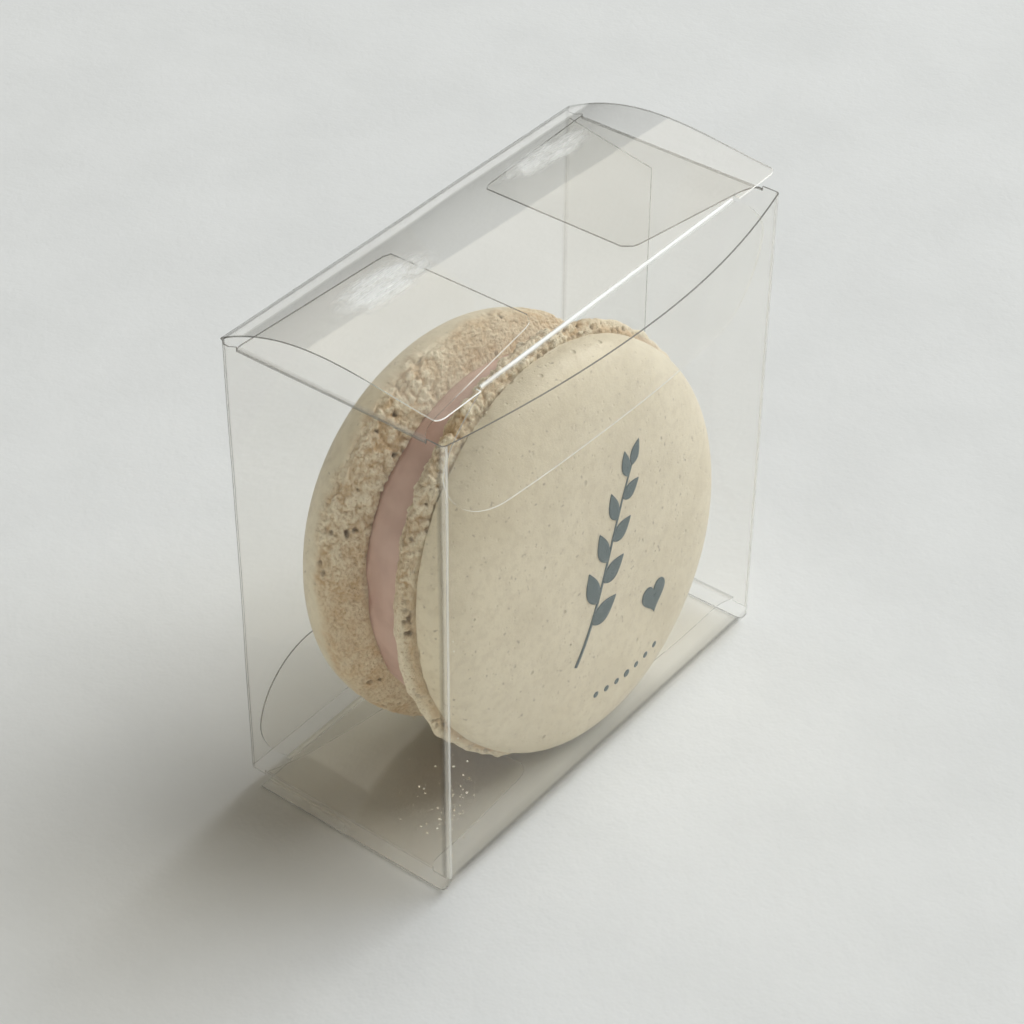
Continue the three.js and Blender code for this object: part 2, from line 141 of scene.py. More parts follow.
def gridQuads(columns, rows, first=0):
    # the four corners of each square of a grid whose point (i, j) is number first + i * rows + j
    i, j = np.meshgrid(np.arange(columns - 1), np.arange(rows - 1), indexing="ij")
    a = (first + i * rows + j).ravel()
    return np.stack([a, a + rows, a + rows + 1, a + 1], -1)


def weldPatches(patches):
    # puts grids into one list of points, where points that fall together are one point; each patch is
    # its grid, how white it is creased (partly painted highlight), how dark (painted shade), and whether it
    # is turned over
    points, pale, dark, quads, count = [], [], [], [], 0
    for grid, paleness, darkness, turned in patches:
        columns, rows = grid.shape[:2]
        faces = gridQuads(columns, rows, count)
        quads.append(faces[:, ::-1] if turned else faces)
        points.append(grid.reshape(-1, 3))
        pale.append(np.broadcast_to(paleness, (columns, rows)).ravel())
        dark.append(np.broadcast_to(darkness, (columns, rows)).ravel())
        count += columns * rows
    points, pale, dark, quads = (np.concatenate(x) for x in (points, pale, dark, quads))
    _, kept, where = np.unique(np.round(points, 3), axis=0, return_index=True, return_inverse=True)
    return points[kept], pale[kept], dark[kept], where.reshape(-1)[quads]


def pointNormals(points, quads):
    # at each point, the sum of its faces' cross products, made one long
    a, b, c, d = (points[quads[:, k]] for k in range(4))
    faceNormal = np.cross(c - a, d - b)
    total = np.zeros_like(points)
    for k in range(4):
        np.add.at(total, quads[:, k], faceNormal)
    return total / np.maximum(np.linalg.norm(total, axis=1, keepdims=True), 1e-12)


def borderEdges(quads, count):
    # the directed edges of the faces that no other face runs the other way
    ends = np.concatenate([quads[:, [k, (k + 1) % 4]] for k in range(4)])
    ends = ends[ends[:, 0] != ends[:, 1]]
    forward = ends[:, 0].astype(np.int64) * count + ends[:, 1]
    backward = ends[:, 1].astype(np.int64) * count + ends[:, 0]
    return ends[~np.isin(forward, backward)]


def filmPiece(name, patches, body, material, edgeTone, joined=None, scuff=None):
    # a sheet of clear film, closed all round: its middle surface moved out and in by half the film's
    # thickness along the normals, and a rim of cut edges; edgeTone gives the rim's painted highlight and
    # painted shade at each point, joined says where the sheet runs on into the next piece and has no cut edge
    points, pale, dark, quads = weldPatches(patches)
    count = len(points)
    normals = pointNormals(points, quads)
    wave = film["ripple"] * softNoise(points, film["rippleSize"], 61)
    points = points + normals * (wave * rippleHold(points))[:, None]
    rim = borderEdges(quads, count)
    isJoined = np.zeros(len(rim), bool) if joined is None else joined(points)[rim].all(1)
    a, b = rim[:, 0], rim[:, 1]
    faces = np.concatenate([quads, quads[:, ::-1] + count, np.stack([b, a, a + count, b + count], -1)])
    finish = np.concatenate([np.zeros(2 * len(quads)), np.where(isJoined, 0, 1)])
    half = box["film"] / 2
    both = np.concatenate([points + normals * half, points - normals * half])
    edgeHighlight, edgeShade = edgeTone(points)
    # the sheet's crease white, partly painted highlight, and its painted shade; the cut edges' painted highlight and
    # painted shade
    attributes = {"pale": pale, "dark": dark, "edgeHighlight": edgeHighlight, "edgeShade": edgeShade}
    if scuff is not None:
        attributes["scuff"] = scuff(points)
    attributes = {key: np.tile(values, 2) for key, values in attributes.items()}
    piece = makePiece(name, both, faces, [], [material, cutEdge], body, attributes, finish)
    piece.data.set_sharp_from_angle(angle=0.8)
    return piece


# Node helpers

def newMaterial(name):
    material = bpy.data.materials.new(name)
    material.use_nodes = True
    material.node_tree.nodes.clear()
    return material, material.node_tree


def addNode(tree, kind, settings=None, **values):
    node = tree.nodes.new(kind)
    for key, value in (settings or {}).items():
        setattr(node, key, value)
    for key, value in values.items():
        socket = node.inputs[int(key[1:])] if key[0] == "n" and key[1:].isdigit() else node.inputs[key]
        if isinstance(value, bpy.types.NodeSocket):
            tree.links.new(value, socket)
        else:
            socket.default_value = value
    return node


def maths(tree, operation, *values, clamp=False):
    node = tree.nodes.new("ShaderNodeMath")
    node.operation = operation
    node.use_clamp = clamp
    for socket, value in zip(node.inputs, values):
        if isinstance(value, bpy.types.NodeSocket):
            tree.links.new(value, socket)
        else:
            socket.default_value = value
    return node.outputs[0]


def mixColour(tree, share, first, second, blend="MIX"):
    node = tree.nodes.new("ShaderNodeMix")
    node.data_type = "RGBA"
    node.blend_type = blend
    for index, value in ((0, share), (6, first), (7, second)):
        if isinstance(value, bpy.types.NodeSocket):
            tree.links.new(value, node.inputs[index])
        else:
            node.inputs[index].default_value = value
    return node.outputs[2]


def rangeOf(tree, value, low, high, toLow=0.0, toHigh=1.0):
    node = tree.nodes.new("ShaderNodeMapRange")
    node.interpolation_type = "SMOOTHSTEP"
    tree.links.new(value, node.inputs["Value"])
    for key, number in (("From Min", low), ("From Max", high), ("To Min", toLow), ("To Max", toHigh)):
        node.inputs[key].default_value = number
    return node.outputs["Result"]


def objectPlace(tree):
    return tree.nodes.new("ShaderNodeTexCoord").outputs["Object"]


def noiseAt(tree, place, sizeMm, detail=3.0, roughness=0.5):
    # a noise whose features are about sizeMm across
    return addNode(
        tree, "ShaderNodeTexNoise", Vector=place, Scale=1000 / sizeMm, Detail=detail, Roughness=roughness
    ).outputs["Fac"]


def attributeOf(tree, name):
    return addNode(tree, "ShaderNodeAttribute", {"attribute_name": name}).outputs["Fac"]


def pittedGroup():
    # small round pits strewn over a surface: Mask is 1 in a pit, and Height is lower there
    group = bpy.data.node_groups.new("pits", "ShaderNodeTree")
    for name, default in (("Size", 1.0), ("Share", 0.3), ("Radius", 0.3)):
        group.interface.new_socket(name, in_out="INPUT", socket_type="NodeSocketFloat").default_value = default
    group.interface.new_socket("Vector", in_out="INPUT", socket_type="NodeSocketVector")
    group.interface.new_socket("Mask", in_out="OUTPUT", socket_type="NodeSocketFloat")
    group.interface.new_socket("Height", in_out="OUTPUT", socket_type="NodeSocketFloat")
    given = group.nodes.new("NodeGroupInput")
    out = group.nodes.new("NodeGroupOutput")
    perMetre = maths(group, "DIVIDE", 1000.0, given.outputs["Size"])
    bent = addNode(group, "ShaderNodeTexNoise", Vector=given.outputs["Vector"], Scale=perMetre, Detail=1.0)
    shifted = addNode(
        group, "ShaderNodeVectorMath", {"operation": "MULTIPLY_ADD"},
        n0=bent.outputs["Color"], n1=(0.0002, 0.0002, 0.0002), n2=given.outputs["Vector"],
    )
    cells = addNode(group, "ShaderNodeTexVoronoi", Vector=shifted.outputs[0], Scale=perMetre)
    chosen = addNode(group, "ShaderNodeSeparateColor", Color=cells.outputs["Color"])
    here = maths(group, "LESS_THAN", chosen.outputs[0], given.outputs["Share"])
    radius = maths(group, "MULTIPLY", given.outputs["Radius"], maths(group, "ADD", chosen.outputs[1], 0.4))
    depth = maths(group, "SUBTRACT", 1.0, maths(group, "DIVIDE", cells.outputs["Distance"], radius), clamp=True)
    round_ = maths(group, "MULTIPLY", here, maths(group, "POWER", depth, 0.6))
    group.links.new(round_, out.inputs["Mask"])
    group.links.new(maths(group, "MULTIPLY", round_, -1.0), out.inputs["Height"])
    return group


pits = pittedGroup()


def pitsAt(tree, place, size, share, radius):
    node = tree.nodes.new("ShaderNodeGroup")
    node.node_tree = pits
    tree.links.new(place, node.inputs["Vector"])
    node.inputs["Size"].default_value = size
    node.inputs["Share"].default_value = share
    node.inputs["Radius"].default_value = radius
    return node.outputs["Mask"], node.outputs["Height"]


# Clear film: what is behind shows through it, its gloss mirrors the room by the Fresnel law, and it has
# a thin white veil where it is creased or scuffed, partly painted highlight, and a dark veil of painted
# shade along creases and folds

film = {
    "ripple": 0.05,
    "rippleSize": 11.0,
    "tint": (0.996, 0.994, 0.987, 1),
    "shade": (0.984, 0.975, 0.955, 1),  # what is left of the light that crosses one face to a surface behind
    "ior": {"clearFilm": 1.25, "scuffedFilm": 1.5},
    "white": (0.91, 0.92, 0.90, 1),
    # the dark veil's colour, for painted shade along creases and folds
    "black": (0.10, 0.095, 0.085, 1),
}


def rippleHold(points):
    # no ripple where the film touches the table or is held by the next piece
    return smooth(0.0, 6.0, points[:, 2]) * smooth(56.0, 51.0, points[:, 2])


def makeFilm(name, scuffed=False):
    material, tree = newMaterial(name)
    # seen from inside, the film's face mirrors no more than from outside, because it is so thin
    inside = addNode(tree, "ShaderNodeNewGeometry").outputs["Backfacing"]
    ior = maths(tree, "MULTIPLY_ADD", inside, 1 / film["ior"][name] - film["ior"][name], film["ior"][name])
    share = addNode(tree, "ShaderNodeFresnel", IOR=ior)
    clear = addNode(tree, "ShaderNodeBsdfTransparent", Color=film["tint"])
    gloss = addNode(tree, "ShaderNodeBsdfAnisotropic", Color=(1, 1, 1, 1), Roughness=0.0)
    sheet = addNode(tree, "ShaderNodeMixShader", n0=share.outputs[0], n1=clear.outputs[0], n2=gloss.outputs[0])
    pale, dark = attributeOf(tree, "pale"), attributeOf(tree, "dark")
    if scuffed:
        place = objectPlace(tree)
        stroked = addNode(tree, "ShaderNodeMapping", Vector=place, Rotation=(0, 0, -0.2), Scale=(1, 8, 1))
        streaks = noiseAt(tree, stroked.outputs[0], 2.2, 4.0, 0.8)
        patchy = rangeOf(tree, noiseAt(tree, place, 2.0, 1.0), 0.3, 0.52, 0.5, 1.0)
        streaks = maths(tree, "MULTIPLY", rangeOf(tree, streaks, 0.36, 0.57), patchy)
        streaks = maths(tree, "MULTIPLY", streaks, attributeOf(tree, "scuff"))
        pale = maths(tree, "ADD", pale, streaks, clamp=True)
    white = addNode(tree, "ShaderNodeBsdfPrincipled")
    white.inputs["Base Color"].default_value = film["white"]
    white.inputs["Roughness"].default_value = 0.35
    black = addNode(tree, "ShaderNodeBsdfPrincipled")
    black.inputs["Base Color"].default_value = film["black"]
    black.inputs["Roughness"].default_value = 0.4
    # a black sheet is mixed in as painted shade, and a white one as crease whitening and scuffs, partly painted
    # highlight
    shaded = addNode(tree, "ShaderNodeMixShader", n0=dark, n1=sheet.outputs[0], n2=black.outputs[0])
    whole = addNode(tree, "ShaderNodeMixShader", n0=pale, n1=shaded.outputs[0], n2=white.outputs[0])
    dimmed = addNode(tree, "ShaderNodeBsdfTransparent", Color=film["shade"])
    passing = addNode(tree, "ShaderNodeMixShader", n0=share.outputs[0], n1=dimmed.outputs[0], n2=gloss.outputs[0])
    shadowRay = tree.nodes.new("ShaderNodeLightPath").outputs["Is Shadow Ray"]
    final = addNode(tree, "ShaderNodeMixShader", n0=shadowRay, n1=whole.outputs[0], n2=passing.outputs[0])
    addNode(tree, "ShaderNodeOutputMaterial", Surface=final.outputs[0])
    return material


# the cut edges' colours: white for painted highlight, grey for painted shade
edgeLook = {"white": (0.95, 0.95, 0.92, 1), "grey": (0.075, 0.07, 0.06, 1), "clear": (0.95, 0.95, 0.93, 1)}


def makeCutEdge():
    # a cut edge of the film, drawn with painted light and shade: light runs along inside the sheet and
    # leaves it here, so it is painted bright where it would face the light and grey where it wouldn't
    material, tree = newMaterial("cutEdge")
    clear = addNode(tree, "ShaderNodeBsdfTransparent", Color=edgeLook["clear"])
    grey = addNode(tree, "ShaderNodeBsdfPrincipled")
    grey.inputs["Base Color"].default_value = edgeLook["grey"]
    grey.inputs["Roughness"].default_value = 0.3
    white = addNode(tree, "ShaderNodeBsdfPrincipled")
    white.inputs["Base Color"].default_value = edgeLook["white"]
    white.inputs["Roughness"].default_value = 0.3
    # a faint painted glow on the white edges
    white.inputs["Emission Color"].default_value = (1, 1, 0.96, 1)
    white.inputs["Emission Strength"].default_value = 0.25
    shaded = addNode(
        tree, "ShaderNodeMixShader", n0=attributeOf(tree, "edgeShade"), n1=clear.outputs[0], n2=grey.outputs[0]
    )
    whole = addNode(
        tree, "ShaderNodeMixShader", n0=attributeOf(tree, "edgeHighlight"), n1=shaded.outputs[0], n2=white.outputs[0]
    )
    addNode(tree, "ShaderNodeOutputMaterial", Surface=whole.outputs[0])
    return material


clearFilm = makeFilm("clearFilm")
scuffedFilm = makeFilm("scuffedFilm", scuffed=True)
cutEdge = makeCutEdge()

# The sleeve: four walls, the dust flaps above and below, and the bottom with its own tuck flap

sleeve = {
    "bow": 3.0,  # the front wall's top edge is pushed out this far
    "bowPlace": 27.0,
    "bowFade": 2.5,
    "bend": 0.4,  # radius of the creases, at the middle of the film
    "dustReach": 18.1,
    "dustSlope": 0.075,  # the upper dust flaps rise towards their free edge
    "dustRoot": (2.0, 23.1),
    "backNotch": 0.35,
    "panelSetback": 1.5,
    "tuckY": 24.25,
    "tuckHeight": 11.7,
    "tuckWidening": 7.0,
    "tuckCorner": 8.0,
}
arcRadius = box["corner"] - inset
wallFoot = inset + sleeve["bend"]
wallHead = box["height"] - inset - sleeve["bend"]
middleRows = np.linspace(wallFoot, wallHead, 48)
headRows = np.linspace(wallHead, box["height"], 4)
footRows = np.linspace(0, wallFoot, 4)
allRows = np.concatenate([footRows[:-1], middleRows, headRows[1:]])
bendSteps = 9


def frontBow(x, z):
    # bow * (1 - ((x - place) / reach)^2) * (z / height)^fade
    reach = np.where(x < sleeve["bowPlace"], sleeve["bowPlace"], box["width"] - sleeve["bowPlace"]) - box["corner"]
    hump = np.clip(1 - ((x - sleeve["bowPlace"]) / reach) ** 2, 0, None)
    return sleeve["bow"] * hump * np.clip(z / box["height"], 0, None) ** sleeve["bowFade"]


def lowerBackTop(grid):
    # the upper edge is cut lower towards the back corners
    drop = sleeve["backNotch"] * smooth(box["depth"] - 1.9, box["depth"] - 0.9, grid[..., 1])
    drop = np.where(grid[..., 1] > box["depth"] - 0.3, 0.13, drop)
    grid[..., 2] -= drop * np.clip((grid[..., 2] - wallHead) / (box["height"] - wallHead), 0, 1)
    return grid


def uprightPatch(x, y, rows):
    # a piece of wall: an outline seen from above, carried up through the rows
    x, z = np.meshgrid(np.asarray(x, float), rows, indexing="ij")
    y = np.meshgrid(np.asarray(y, float), rows, indexing="ij")[0]
    return np.stack([x, y, z], -1)


def cornerPatch(centreX, centreY, start, pale, dark):
    # an upright crease: a quarter round, white all over, with a painted highlight along one line and
    # painted shade along another
    angle = np.linspace(start, start + math.pi / 2, bendSteps)
    x = centreX + arcRadius * np.cos(angle)
    y = centreY + arcRadius * np.sin(angle)
    along = np.linspace(0, 1, bendSteps)
    paleness = pale[0] * np.sin(math.pi * along) ** 0.4 + pale[1] * np.exp(-(((along - pale[2]) / 0.13) ** 2))
    darkness = dark[0] * np.exp(-(((along - dark[1]) / dark[2]) ** 2))
    return lowerBackTop(uprightPatch(x, y, allRows)), paleness[:, None], darkness[:, None], False


def dustPatch(rootRow, side, outer):
    # a dust flap: from the wall's last row round the crease and in across the box
    # side is 1 at the left wall and -1 at the right; outer is 1 for the upper flap and -1 for the lower
    quarter = math.pi / 2 - (sleeve["dustSlope"] if outer > 0 else 0.16)
    turn = np.linspace(0, quarter, bendSteps)
    reach = sleeve["bend"] * (1 - np.cos(turn))
    run = np.linspace(0, 1, 25)[1:] * (sleeve["dustReach"] - inset - reach[-1])
    rise = sleeve["bend"] * np.sin(turn)
    if outer > 0:
        rise = np.concatenate([wallHead + rise, wallHead + rise[-1] + run * math.tan(sleeve["dustSlope"])])
    else:
        sag = 1.82 * (1 - np.exp(-run / 6.0)) / (1 - math.exp(-3.0))
        rise = np.concatenate([wallFoot - rise, wallFoot - rise[-1] - sag])
    reach = np.concatenate([reach, reach[-1] + run])
    front, back = sleeve["dustRoot"]
    front = front + 0.95 * (1 - np.exp(-reach / 0.8)) + 0.083 * reach
    back = back - 2.1 * reach / sleeve["dustReach"]
    nose = np.clip(reach - (sleeve["dustReach"] - inset - 1.5), 0, 1.5) / 1.5
    front = front + 1.0 * (1 - np.sqrt(1 - 0.99 * nose**2))
    back = back - 0.3 * (1 - np.sqrt(1 - 0.99 * nose**4))
    share = (rootRow - rootRow[0]) / (rootRow[-1] - rootRow[0])
    y = front[None, :] + share[:, None] * (back - front)[None, :]
    y[:, 0] = rootRow
    edgeX = inset if side > 0 else box["width"] - inset
    x = np.broadcast_to(edgeX + side * reach, y.shape)
    z = np.broadcast_to(rise, y.shape)
    pale, dark = np.zeros_like(reach), np.zeros_like(reach)
    # white round the crease, and painted shade at its root by the wall
    pale[:bendSteps] = np.sin(np.linspace(0, math.pi, bendSteps)) * (0.16 if outer > 0 else 0.1)
    dark[:bendSteps] = np.exp(-((np.linspace(0, 1, bendSteps) / 0.3) ** 2)) * (0.8 if outer > 0 else 0.35)
    return np.stack([x, y, z], -1), pale[None, :], dark[None, :], side * outer > 0


def sideWallPatches(side):
    edgeX = inset if side > 0 else box["width"] - inset
    low, high = sleeve["dustRoot"]
    first = np.linspace(box["corner"], low, 4)
    middle = np.linspace(low, high, 28)
    last = np.linspace(high, box["depth"] - box["corner"], 4)
    y = np.concatenate([first[:-1], middle, last[1:]])
    patches = [(uprightPatch(np.full(len(y), edgeX), y, middleRows), 0.0, 0.0, side > 0)]
    for part in (first, last):
        x = np.full(len(part), edgeX)
        patches.append((lowerBackTop(uprightPatch(x, part, headRows)), 0.0, 0.0, side > 0))
        patches.append((uprightPatch(x, part, footRows), 0.0, 0.0, side > 0))
    patches.append(dustPatch(middle, side, 1))
    patches.append(dustPatch(middle, side, -1))
    return patches


wallColumns = np.linspace(box["corner"], box["width"] - box["corner"], 66)


def frontPatch():
    grid = uprightPatch(wallColumns, np.full(len(wallColumns), inset), allRows)
    grid[..., 1] -= frontBow(grid[..., 0], grid[..., 2])
    return grid, 0.0, 0.0, False


def backPatch():
    grid = uprightPatch(wallColumns, np.full(len(wallColumns), box["depth"] - inset), allRows)
    return lowerBackTop(grid), 0.0, 0.0, True


def tuckSides(distance, length, foldFrom, foldTo):
    # where a tuck flap's two side edges are, at a distance below its fold: it widens, then rounds off
    ease = 1 - (1 - np.clip(distance / sleeve["tuckWidening"], 0, 1)) ** 2
    into = np.clip((distance - (length - sleeve["tuckCorner"])) / sleeve["tuckCorner"], 0, 1)
    rounding = sleeve["tuckCorner"] * (1 - np.sqrt(1 - 0.998 * into**2))
    left = lerp(foldFrom, 0.9, ease) + rounding
    right = lerp(foldTo, box["width"] - 0.9, ease) - rounding
    return left, right


def downRows(length, corner, steps):
    # distances down a flap: even to where its corners start, then closer and closer
    straight = np.linspace(0, length - corner, steps)
    return np.concatenate([straight, length - corner + corner * np.sin(np.linspace(0, math.pi / 2, 18)[1:])])


def bottomPatch():
    # from the front wall's lower edge: a quarter ellipse down to the table, flat, and up inside the back
    flat = -box["drop"] + inset
    quarter = np.linspace(0, math.pi / 2, bendSteps + 1)
    y = [inset + (sleeve["panelSetback"] - inset) * (1 - np.cos(quarter))]
    z = [flat * np.sin(quarter)]
    bend = 0.5
    y.append(np.linspace(sleeve["panelSetback"], sleeve["tuckY"] - bend, 24)[1:])
    z.append(np.full(23, flat))
    y.append(sleeve["tuckY"] - bend + bend * np.sin(quarter[1:]))
    z.append(flat + bend - bend * np.cos(quarter[1:]))
    length = sleeve["tuckHeight"] - (flat + bend)
    down = downRows(length, sleeve["tuckCorner"], 8)[1:]
    y.append(np.full(len(down), sleeve["tuckY"]))
    z.append(flat + bend + down)
    y, z = np.concatenate(y), np.concatenate(z)
    side = lerp(box["corner"], inset, smooth(0, 1.2, -z))
    left, right = side.copy(), box["width"] - side
    tuckLeft, tuckRight = tuckSides(down, length, 4.5, box["width"] - 4.5)
    left[-len(down):], right[-len(down):] = tuckLeft, tuckRight
    left[-len(down) - bendSteps:-len(down)] = 4.5
    right[-len(down) - bendSteps:-len(down)] = box["width"] - 4.5
    share = (wallColumns - box["corner"]) / (box["width"] - 2 * box["corner"])
    x = left[None, :] + share[:, None] * (right - left)[None, :]
    # painted shade: a dark line where the panel comes down onto the table and a fainter one at the front wall's
    # lower fold, fading out at the left end
    dark = 0.4 * np.exp(-(((np.arange(len(y)) - 7.5) / 1.3) ** 2)) + 0.2 * np.exp(-((np.arange(len(y)) / 1.2) ** 2))
    dark = dark[None, :] * smooth(0.4, 4.0, x)
    turnUp = bendSteps + 24
    pale = np.zeros_like(y)
    pale[turnUp:turnUp + bendSteps] = 0.5 * np.sin(np.linspace(0, math.pi, bendSteps))
    # painted light: a white veil along the panel's left edge, for the light that the wall above gathers there
    glow = 0.5 * smooth(1.7, 0.6, x) * smooth(12.0, 15.0, y)[None, :]
    glow = glow * (np.arange(len(y)) < turnUp)[None, :]
    grid = np.stack([x, np.broadcast_to(y, x.shape), np.broadcast_to(z, x.shape)], -1)
    return grid, np.maximum(pale[None, :], glow), dark, True


def sleeveEdgeTone(points):
    # how white and how dark the cut edges are painted: painted highlight and painted shade, set by place
    x, y, z = points.T
    pale, dark = np.full(len(points), 0.05), np.full(len(points), 0.7)
    dark = np.where((y < sleeve["dustRoot"][0] + 0.1) & (z > wallHead), 0.85, dark)
    low = z < 1.2
    pale = np.where(low, 0.1, pale)
    dark = np.where(low, 0.22, dark)
    panelEdge = low & ((x < 0.4) | (x > box["width"] - 0.4)) & (z < -1.0)
    dark = np.where(panelEdge, 0.5, dark)
    # a painted highlight along the front edge of the left upper dust flap
    frontOfFlap = (z > 49.5) & (y > 1.5) & (y < 4.8) & (x > 1.0)
    lit = frontOfFlap & (x < box["width"] / 2)
    pale = np.where(lit, 0.65 * smooth(4.5, 8.5, x), pale)
    dark = np.where(lit, 0.3, dark)
    return pale, dark


def makeSleeve():
    c, w, d = box["corner"], box["width"], box["depth"]
    patches = [
        frontPatch(),
        backPatch(),
        cornerPatch(w - c, c, -math.pi / 2, (0.1, 0.25, 0.8), (0.15, 0.2, 0.15)),
        cornerPatch(w - c, d - c, 0, (0.06, 0.0, 0.5), (0.1, 0.5, 0.15)),
        cornerPatch(c, d - c, math.pi / 2, (0.02, 0.0, 0.5), (0.6, 0.42, 0.3)),
        cornerPatch(c, c, math.pi, (0.2, 0.45, 0.8), (0.3, 0.0, 0.15)),
        *sideWallPatches(1),
        *sideWallPatches(-1),
        bottomPatch(),
    ]
    piece = filmPiece("film_sleeve", patches, "box", clearFilm, sleeveEdgeTone)
    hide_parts("sleeve")


glueTab = {"width": 10.5, "corner": 50.2, "edge": 48.3, "foot": 1.5}


def makeGlueTab():
    # a strip inside the right wall whose upper edge slants from the corner down to its free edge
    share, up = np.meshgrid(np.linspace(0, 1, 12), np.linspace(0, 1, 30), indexing="ij")
    y = box["depth"] - 0.55 - share * (glueTab["width"] - 0.55)
    z = lerp(glueTab["foot"], lerp(glueTab["corner"], glueTab["edge"], share), up)
    x = np.full_like(y, box["width"] - 2 * box["film"] - 0.03)
    # the glue tab's cut edges: a little painted highlight and painted shade
    tone = lambda points: (np.full(len(points), 0.08), np.full(len(points), 0.42))
    atCorner = lambda points: points[:, 1] > box["depth"] - 0.6
    patches = [(np.stack([x, y, z], -1), 0.0, 0.0, True)]
    filmPiece("film_glue_tab", patches, "box", clearFilm, tone, atCorner)


makeSleeve()
makeGlueTab()
print("sleeve made")

# The lid, with an ear at each end of its front, and the tuck flap that hangs between the ears

lid = {
    "rise": 2.2,
    "arch": 2.3,
    "archSkew": 0.75,
    "archPower": 1.2,
    "frontEdge": 0.65,
    "foldY": 1.25,
    "ears": (5.7, 43.9),
    "earRound": 1.1,
    # where the lid was stroked: middle x and y, half length along x, half width along y
    "scuffs": ((11.8, 16.6, 6.5, 2.6), (38.6, 18.8, 6.2, 2.3)),
}
tuck = {"fold": (6.2, 43.4), "depth": 13.4, "bend": 0.25, "standOff": 0.9}


def lidHeight(y):
    # height + rise * s + arch * sin(pi * s^skew)^power, with s the share of the way to the front edge
    share = np.clip((box["depth"] - y) / (box["depth"] - lid["frontEdge"]), 0, 1)
    arch = np.sin(math.pi * share ** lid["archSkew"]) ** lid["archPower"]
    return box["height"] + lid["rise"] * share + lid["arch"] * arch + 0.05


def lidEdgeTone(points):
    # painted highlight and painted shade on the lid's cut edges: ears white, sides paler towards the front, left
    # more than right
    x, y, _ = points.T
    nearFront = smooth(11.0, 4.0, y)
    ear = y < lid["foldY"] - 0.15
    left = x < box["width"] / 2
    pale = np.where(ear, 0.95, np.where(left, 0.45 * nearFront, 0.25 * nearFront))
    dark = np.where(ear, 0.2, np.where(left, 0.7 - 0.4 * nearFront, 0.45 - 0.1 * nearFront))
    atBack = y > box["depth"] - 0.5
    return np.where(atBack, 0.05, pale), np.where(atBack, 0.7, dark)


def lidScuff(points):
    # 1 inside each stroked place and 0 outside, with a soft, uneven border
    total = np.zeros(len(points))
    for x, y, length, width in lid["scuffs"]:
        away = np.hypot((points[:, 0] - x) / length, (points[:, 1] - y) / width)
        total += smooth(1.1, 0.45, away + 0.2 * softNoise(points, 2.2, 91))
    return np.clip(total, 0, 1) * 0.85


def betweenEars(points):
    inside = (points[:, 0] > lid["ears"][0] - 0.01) & (points[:, 0] < lid["ears"][1] + 0.01)
    return inside & (np.abs(points[:, 1] - lid["foldY"]) < 0.06)


def makeLid():
    hinge = box["depth"] - inset
    y = np.concatenate([[hinge, hinge - 0.03], np.linspace(hinge - 0.12, lid["foldY"], 60)])
    z = lidHeight(y)
    z[0] = box["height"] - 0.02
    z[1] = box["height"] + 0.06
    left = np.linspace(inset, lid["ears"][0], 8)
    middle = np.linspace(lid["ears"][0], lid["ears"][1], 30)
    right = np.linspace(lid["ears"][1], box["width"] - inset, 8)
    x = np.concatenate([left[:-1], middle, right[1:]])
    gridX, gridY = np.meshgrid(x, y, indexing="ij")
    # white along the hinge crease, with a line of painted shade on it
    pale = 0.12 * np.exp(-(((gridY - hinge + 0.5) / 0.4) ** 2))
    dark = 0.6 * np.exp(-(((gridY - hinge) / 0.22) ** 2))
    grid = np.stack([gridX, gridY, np.broadcast_to(z, gridX.shape)], -1)
    patches = [(grid, pale, dark, True)]
    for columns, sign in ((left, 1), (right, -1)):
        rows = lid["foldY"] - (lid["foldY"] - lid["frontEdge"]) * np.sin(np.linspace(0, math.pi / 2, 12))
        nose = (lid["foldY"] - rows) / (lid["foldY"] - lid["frontEdge"])
        rounding = lid["earRound"] * (1 - np.sqrt(1 - 0.995 * nose**2))
        share = (columns - columns[0]) / (columns[-1] - columns[0])
        keep = 1 - share if sign > 0 else share
        earX = columns[:, None] + sign * keep[:, None] * rounding[None, :]
        earY = np.broadcast_to(rows, earX.shape)
        earZ = np.broadcast_to(lidHeight(rows), earX.shape)
        patches.append((np.stack([earX, earY, earZ], -1), 0.0, 0.0, True))
    piece = filmPiece("film_lid", patches, "lid", scuffedFilm, lidEdgeTone, betweenEars, lidScuff)
    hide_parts("lid_panel")


def tuckEdgeTone(points):
    # painted highlight and painted shade on the tuck flap's cut edges, paler lower down
    depth = smooth(50.0, 44.0, points[:, 2])
    return 0.25 + 0.4 * depth, 0.3 - 0.15 * depth


